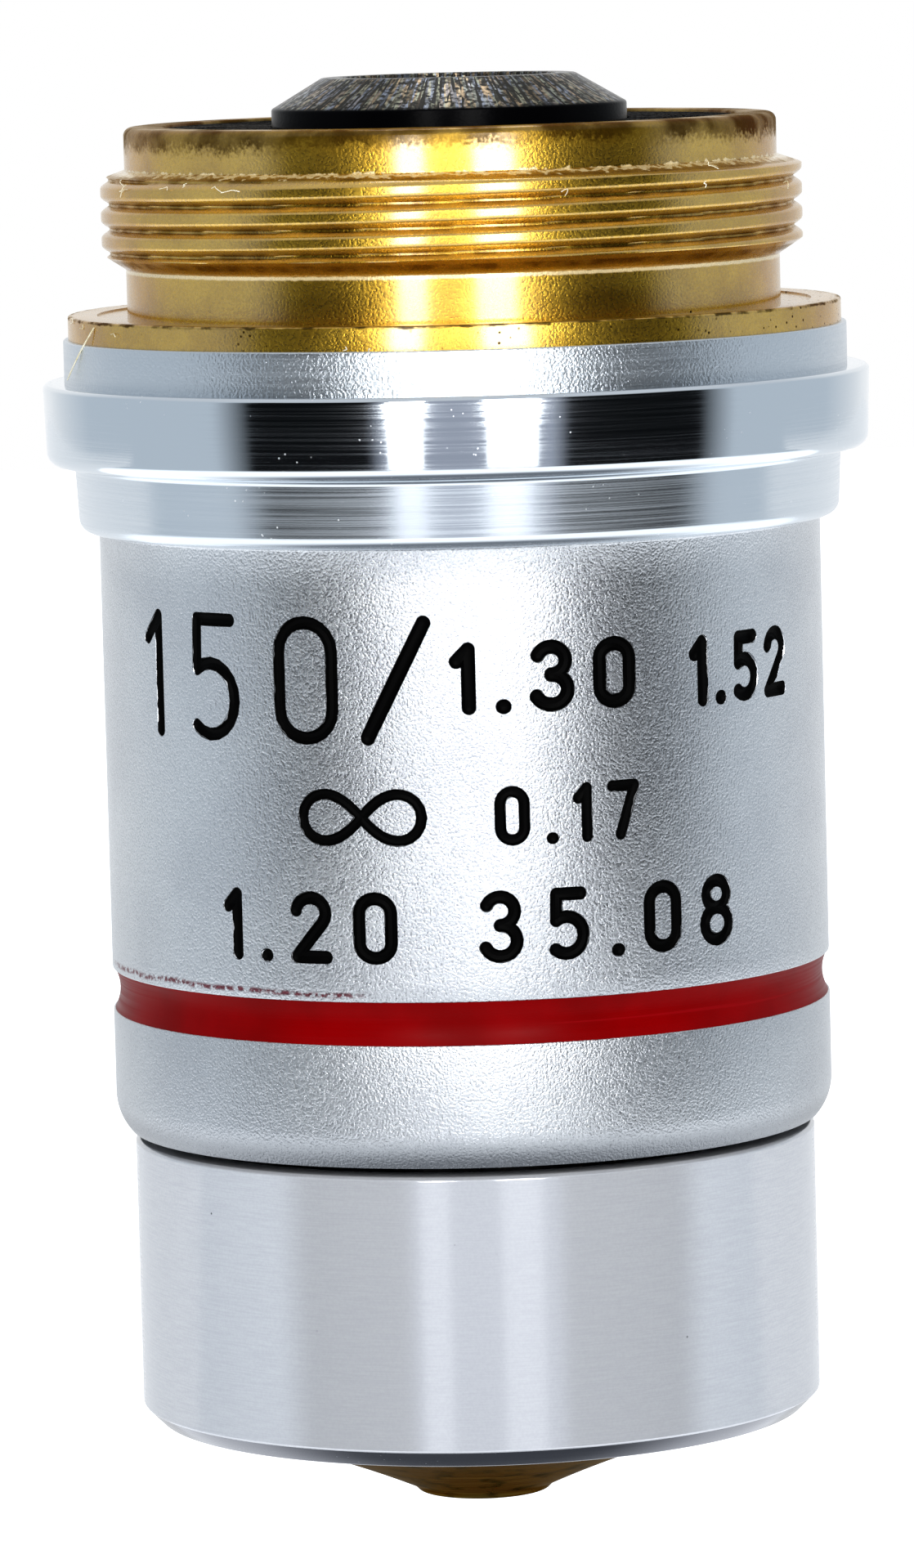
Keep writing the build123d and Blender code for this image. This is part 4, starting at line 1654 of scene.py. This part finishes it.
@dataclass
class NoseSpring:
    """Compression spring behind the barrel's collar, which shortens as the nose slides in."""

    wire_radius: float = 0.35
    mean_radius: float = 6.565
    turns: int = 5
    travel: float = 2.0
    wire_sides: int = 12
    turn_steps: int = 48

    def build(self) -> bpy.types.Object:
        """Winds the wire with a screw modifier and grinds its ends flat."""
        low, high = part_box("nose_spring")
        bottom, top = low.z, high.z
        deselect()
        bpy.ops.mesh.primitive_circle_add(
            vertices=self.wire_sides, radius=self.wire_radius * MM, location=(0, 0, 0)
        )
        piece = bpy.context.active_object
        piece.name = piece.data.name = "wound_spring"
        bpy.ops.object.mode_set(mode="EDIT")
        bpy.ops.mesh.select_all(action="SELECT")
        bpy.ops.transform.rotate(value=math.pi / 2, orient_axis="X", center_override=(0, 0, 0))
        bpy.ops.transform.translate(value=(self.mean_radius * MM, 0, bottom))
        bpy.ops.object.mode_set(mode="OBJECT")
        apply_modifier(
            piece,
            "SCREW",
            angle=math.tau,
            iterations=self.turns,
            steps=self.turn_steps,
            render_steps=self.turn_steps,
            screw_offset=(top - bottom) / self.turns,
            axis="Z",
        )
        activate(piece)
        bpy.ops.object.mode_set(mode="EDIT")
        for height, above in ((bottom, False), (top, True)):
            bpy.ops.mesh.select_all(action="SELECT")
            bpy.ops.mesh.bisect(
                plane_co=(0, 0, height),
                plane_no=(0, 0, 1),
                use_fill=True,
                clear_outer=above,
                clear_inner=not above,
            )
        bpy.ops.mesh.select_all(action="SELECT")
        bpy.ops.mesh.normals_make_consistent(inside=False)
        bpy.ops.object.mode_set(mode="OBJECT")
        dress(piece, PlainMetal("drawn_spring_wire", "#9C9EA1", "#77797C").material())
        smooth(piece)
        seat(piece, Body.HOUSING, Slot.SPRING_STEEL, "nose_spring")
        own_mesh(piece)
        return piece


@dataclass
class StrayLint:
    """Fibres and thread shavings caught on the flange and at the start of the thread."""

    seed: int = 7
    thickness: float = 0.022
    straw_width: float = 2.2
    straw: tuple[tuple[float, float, float], ...] = (
        (-66, 11.2, -0.15),
        (-70, 11.42, -0.9),
        (-75, 11.5, -1.7),
    )
    flange_curls: tuple[tuple[float, float, float], ...] = (
        (-78, 11.2, 0.02),
        (-71, 11.2, -0.1),
        (-60, 11.22, -0.3),
        (-12, 11.22, -0.62),
        (-16, 11.22, -0.64),
    )
    thread_radius: float = 10.16
    thread_top: float = 4.0
    thread_curls: tuple[tuple[int, float, float, float], ...] = ((7, -68, -18, 3.7), (4, 10, 70, 3.4))
    curl_steps: int = 3
    curl_turn: float = 1.6
    curl_drop: tuple[float, float] = (-0.16, 0.12)
    curl_lift: tuple[float, float] = (0.0, 0.03)
    curl_width: tuple[float, float] = (0.8, 1.3)

    def spot(self, turn: float, radius: float, height: float) -> Vector:
        """Gives a place on the mount.

        Args:
            turn: Angle round from the front in degrees.
            radius: Distance from the axis.
            height: Height over the shoulder.

        Returns:
            The place in metres.
        """
        angle = math.radians(turn)
        return Vector((radius * math.sin(angle) * MM, -radius * math.cos(angle) * MM, height * MM))

    def fibre(self, places: Sequence[Vector], thickness: float) -> bpy.types.Object:
        """Draws one fibre through a few places.

        Args:
            places: Points in metres.
            thickness: The fibre's width in millimetres.

        Returns:
            The fibre as a mesh.
        """
        deselect()
        bpy.ops.curve.primitive_nurbs_path_add(location=(0, 0, 0))
        strand = bpy.context.active_object
        strand.data.splines.clear()
        spline = strand.data.splines.new("NURBS")
        spline.points.add(len(places) - 1)
        for point, place in zip(spline.points, places):
            point.co = (*place, 1.0)
        spline.order_u = 3
        spline.use_endpoint_u = True
        strand.data.dimensions = "3D"
        strand.data.bevel_depth = thickness / 2 * MM
        strand.data.bevel_resolution = 1
        strand.data.use_fill_caps = True
        bpy.ops.object.convert(target="MESH")
        return bpy.context.active_object

    def build(self) -> bpy.types.Object:
        """Lays the long straw over the flange and scatters short curls along the thread and flange."""
        draw = random.Random(self.seed)
        strands = [self.fibre([self.spot(*place) for place in self.straw], self.straw_width * self.thickness)]
        starts = list(self.flange_curls)
        for count, left, right, low in self.thread_curls:
            for _ in range(count):
                turn, height = draw.uniform(left, right), draw.uniform(low, self.thread_top)
                starts.append((turn, self.thread_radius, height))
        for turn, radius, height in starts:
            places = [self.spot(turn, radius, height)]
            for _ in range(self.curl_steps):
                turn += draw.uniform(-self.curl_turn, self.curl_turn)
                height += draw.uniform(*self.curl_drop)
                radius += draw.uniform(*self.curl_lift)
                places.append(self.spot(turn, radius, height))
            strands.append(self.fibre(places, draw.uniform(*self.curl_width) * self.thickness))
        deselect()
        for strand in strands:
            strand.select_set(True)
        bpy.context.view_layer.objects.active = strands[0]
        bpy.ops.object.join()
        piece = bpy.context.active_object
        piece.name = piece.data.name = "stray_lint"
        dress(piece, StrawFibre().material())
        return seat(piece, Body.HOUSING, Slot.THREAD_BRASS)


@dataclass
class InnerWorks:
    """The nodes of the frame that stay as they are and only get a finish."""

    def dress_nodes(self, crown: bpy.types.Material, flint: bpy.types.Material) -> None:
        """Gives every node that no piece replaces its procedural material.

        Args:
            crown: Glass of the front lenses and crowns.
            flint: Glass of the flints.
        """
        finishes = {
            Slot.CELL_BRASS: PlainMetal("turned_cell_brass", "#CFA24C", "#B98A34").material(),
            Slot.SPRING_STEEL: PlainMetal("ground_dowel_steel", "#A3A5A8", "#85878A").material(),
            Slot.BLACK_ANODISED: BlackAnodised(name="black_barrel", shine=0.03).material(),
            Slot.CROWN_GLASS: crown,
            Slot.FLINT_GLASS: flint,
        }
        for part in frame["record"]["subparts"]:
            node = frame["nodes"][part["node"]]
            if not node.hide_render:
                dress(node, finishes[Slot(part["material_slot"])])
                log.info("%s keeps its own mesh", part["node"])


@dataclass
class Studio:
    """White backdrop, two strip lights by the camera and the camera at the photograph's angle."""

    image_height: int = 1918
    focal_pixels: float = 9867.7
    sensor: float = 36.0
    camera_place: tuple[float, float, float] = (0.0, -233.61, 11.387)
    pitch: float = 6.186
    yaw: float = -0.067
    roll: float = 1.482
    strip_distance: float = 100.0
    strip_tiers: tuple[tuple[str, float, float, float], ...] = (
        ("head", -5.0, 62.0, 12.0),
        ("foot", -26.0, -5.0, 2.4),
        ("toe", -62.0, -26.0, 0.5),
    )
    left_strip: tuple[float, float] = (-13.5, 16.0)
    right_strip: tuple[float, float] = (14.2, 23.0)
    top_lamp: tuple[float, float, float] = (0.0, 62.0, 130.0)
    top_size: float = 48.0
    top_brightness: float = 5.5
    floor_drop: float = 75.0
    floor_size: float = 1400.0
    floor_front: float = 150.0
    floor_colour: str = "#F2F2F1"
    floor_roughness: float = 0.9
    floor_mirrored: float = 0.35
    clip_start: float = 10.0
    roof_rise: tuple[float, float] = (0.42, 0.75)
    table_drop: tuple[float, float] = (-0.29, -0.37)
    ground_drop: tuple[float, float] = (-0.42, -0.62)
    shadow_drop: tuple[float, float] = (-0.75, -0.92)
    glow: float = 2.2
    back_colour: str = "#B4B5B6"
    side_colour: str = "#90979E"
    dark_colour: str = "#060708"
    panel_colour: str = "#787C86"
    roof_colour: str = "#9DA0A4"
    table_colour: str = "#DDE1E6"
    ground_colour: str = "#D9DDE2"
    shadow_colour: str = "#565A60"
    left_dark: tuple[float, float] = (-59.0, -24.5)
    right_dark: tuple[float, float] = (31.0, 71.0)
    side_to: float = 124.0
    back_from: float = 156.0
    side_fade: float = 12.0
    panel_fade: float = 5.0

    def build_camera(self) -> None:
        """Stands the camera where the photograph was taken."""
        pitch, yaw, roll = (math.radians(a) for a in (self.pitch, self.yaw, self.roll))
        forward = Vector((math.sin(yaw) * math.cos(pitch), math.cos(yaw) * math.cos(pitch), -math.sin(pitch)))
        level = Vector((math.cos(yaw), -math.sin(yaw), 0))
        upright = level.cross(forward)
        right = math.cos(roll) * level - math.sin(roll) * upright
        up = math.sin(roll) * level + math.cos(roll) * upright
        deselect()
        bpy.ops.object.camera_add(location=Vector(self.camera_place) * MM)
        camera = bpy.context.active_object
        turn = Matrix((right, up, -forward)).transposed()
        camera.rotation_euler = turn.to_euler()
        camera.data.sensor_width = self.sensor
        camera.data.lens = self.focal_pixels / self.image_height * self.sensor
        camera.data.clip_start = self.clip_start * MM
        bpy.context.scene.camera = camera

    def build_strip(self, name: str, turn: float, width: float) -> None:
        """Stands one tall soft light beside the camera, bright above and dimmer tier by tier below.

        Args:
            name: The lamp's name.
            turn: Its angle from the camera in degrees.
            width: How wide it is.
        """
        side = Vector((math.sin(math.radians(turn)), -math.cos(math.radians(turn)), 0)) * self.strip_distance
        for part, low, high, brightness in self.strip_tiers:
            deselect()
            bpy.ops.object.light_add(type="AREA", location=(side + Vector((0, 0, (low + high) / 2))) * MM)
            lamp = bpy.context.active_object
            lamp.name = f"{name}_{part}"
            lamp.data.shape = "RECTANGLE"
            lamp.data.size = width * MM
            lamp.data.size_y = (high - low) * MM
            lamp.data.energy = brightness * math.pi * width * (high - low) * MM**2
            lamp.rotation_euler = (math.pi / 2, 0, math.radians(turn))
            lamp.visible_camera = False

    def build_top(self) -> None:
        """Hangs a small soft light over the back, which the black cone glints in."""
        deselect()
        bpy.ops.object.light_add(type="AREA", location=Vector(self.top_lamp) * MM)
        lamp = bpy.context.active_object
        lamp.name = "top_light"
        lamp.data.size = self.top_size * MM
        lamp.data.energy = self.top_brightness * math.pi * (self.top_size * MM) ** 2
        lamp.rotation_euler = Vector(self.top_lamp).to_track_quat("Z", "Y").to_euler()
        lamp.visible_camera = False

    def build_world(self) -> None:
        """Wraps the object in a backdrop that is white behind and beside it and dark in front."""
        world = bpy.data.worlds.new("studio")
        bpy.context.scene.world = world
        world.use_nodes = True
        tree = world.node_tree
        tree.nodes.clear()
        way = add_node(tree, "SeparateXYZ", add_node(tree, "TexCoord").output("Generated"))
        across, back, up = (way.output(i) for i in range(3))
        turn = add_node(tree, "Math", across, back * -1.0, operation="ARCTAN2")
        colour = add_node(tree, "ValToRGB", add_node(tree, "MapRange", turn, -math.pi, math.pi))
        stops = [
            (-self.back_from, self.back_colour),
            (-self.side_to, self.side_colour),
            (self.left_dark[0] - self.side_fade, self.side_colour),
            (self.left_dark[0], self.dark_colour),
            (self.left_dark[1], self.dark_colour),
            (self.left_dark[1] + self.panel_fade, self.panel_colour),
            (self.right_dark[0] - self.panel_fade, self.panel_colour),
            (self.right_dark[0], self.dark_colour),
            (self.right_dark[1], self.dark_colour),
            (self.right_dark[1] + self.side_fade, self.side_colour),
            (self.side_to, self.side_colour),
            (self.back_from, self.back_colour),
        ]
        set_ramp(colour.socket.node, [((angle + 180) / 360, shade) for angle, shade in stops])
        for band, shade in (
            (self.roof_rise, self.roof_colour),
            (self.table_drop, self.table_colour),
            (self.ground_drop, self.ground_colour),
            (self.shadow_drop, self.shadow_colour),
        ):
            colour = add_node(tree, "Mix", add_node(tree, "MapRange", up, *band), colour, shade, **COLOURS)
        studio = add_node(tree, "Background", colour, self.glow)
        plain = add_node(tree, "Background", WHITE, 1.0)
        ray = add_node(tree, "LightPath")
        seen = ray.output("Is Camera Ray") | ray.output("Is Transmission Ray")
        add_node(tree, "OutputWorld", add_node(tree, "MixShader", seen, studio, plain))

    def build_floor(self) -> None:
        """Lays the pale floor behind and under the object's back."""
        low = cad_box[0]
        half = self.floor_size / 2 * MM
        deselect()
        bpy.ops.mesh.primitive_plane_add(
            size=2 * half, location=(0, self.floor_front * MM + half, low[2] - self.floor_drop * MM)
        )
        floor = bpy.context.active_object
        floor.name = "pale_floor"
        material = bpy.data.materials.new("pale_floor")
        material.use_nodes = True
        tree = material.node_tree
        shader = tree.nodes["Principled BSDF"].inputs
        ray = add_node(tree, "LightPath")
        seen = ray.output("Is Camera Ray") | ray.output("Is Transmission Ray")
        # The floor glows white to the eye and dimmer in reflections, and lights nothing else
        fill(shader["Base Color"], self.floor_colour)
        fill(shader["Roughness"], self.floor_roughness)
        fill(shader["Emission Color"], WHITE)
        fill(shader["Emission Strength"], seen | ray.output("Is Glossy Ray") * self.floor_mirrored)
        floor.data.materials.append(material)

    def build(self) -> None:
        """Sets up the camera, the lights, the backdrop and the floor."""
        bpy.context.scene.view_settings.view_transform = "Standard"
        self.build_camera()
        self.build_strip("left_strip", *self.left_strip)
        self.build_strip("right_strip", *self.right_strip)
        self.build_top()
        self.build_world()
        self.build_floor()


def main() -> None:
    """Builds every sub-assembly in order and sets the studio."""
    logging.basicConfig(level=logging.INFO, format="%(name)s: %(message)s")
    crown = LensGlass("crown_glass", "#F2F8F6", "#B9A5E0", 1.52).material()
    flint = LensGlass("flint_glass", "#F6F5EA", "#A8C8B4", 1.62).material()
    ThreadedMount().build()
    BodySleeve().build()
    ColourBand().build()
    rear = RearEnd()
    rear.build_cell()
    rear.build_retainer()
    rear.build_lens(flint)
    nose = NoseEnd()
    nose.build_sleeve()
    nose.build_tip()
    nose.build_lens(crown)
    NoseSpring().build()
    StrayLint().build()
    InnerWorks().dress_nodes(crown, flint)
    Studio().build()


if __name__ == "__main__":
    main()
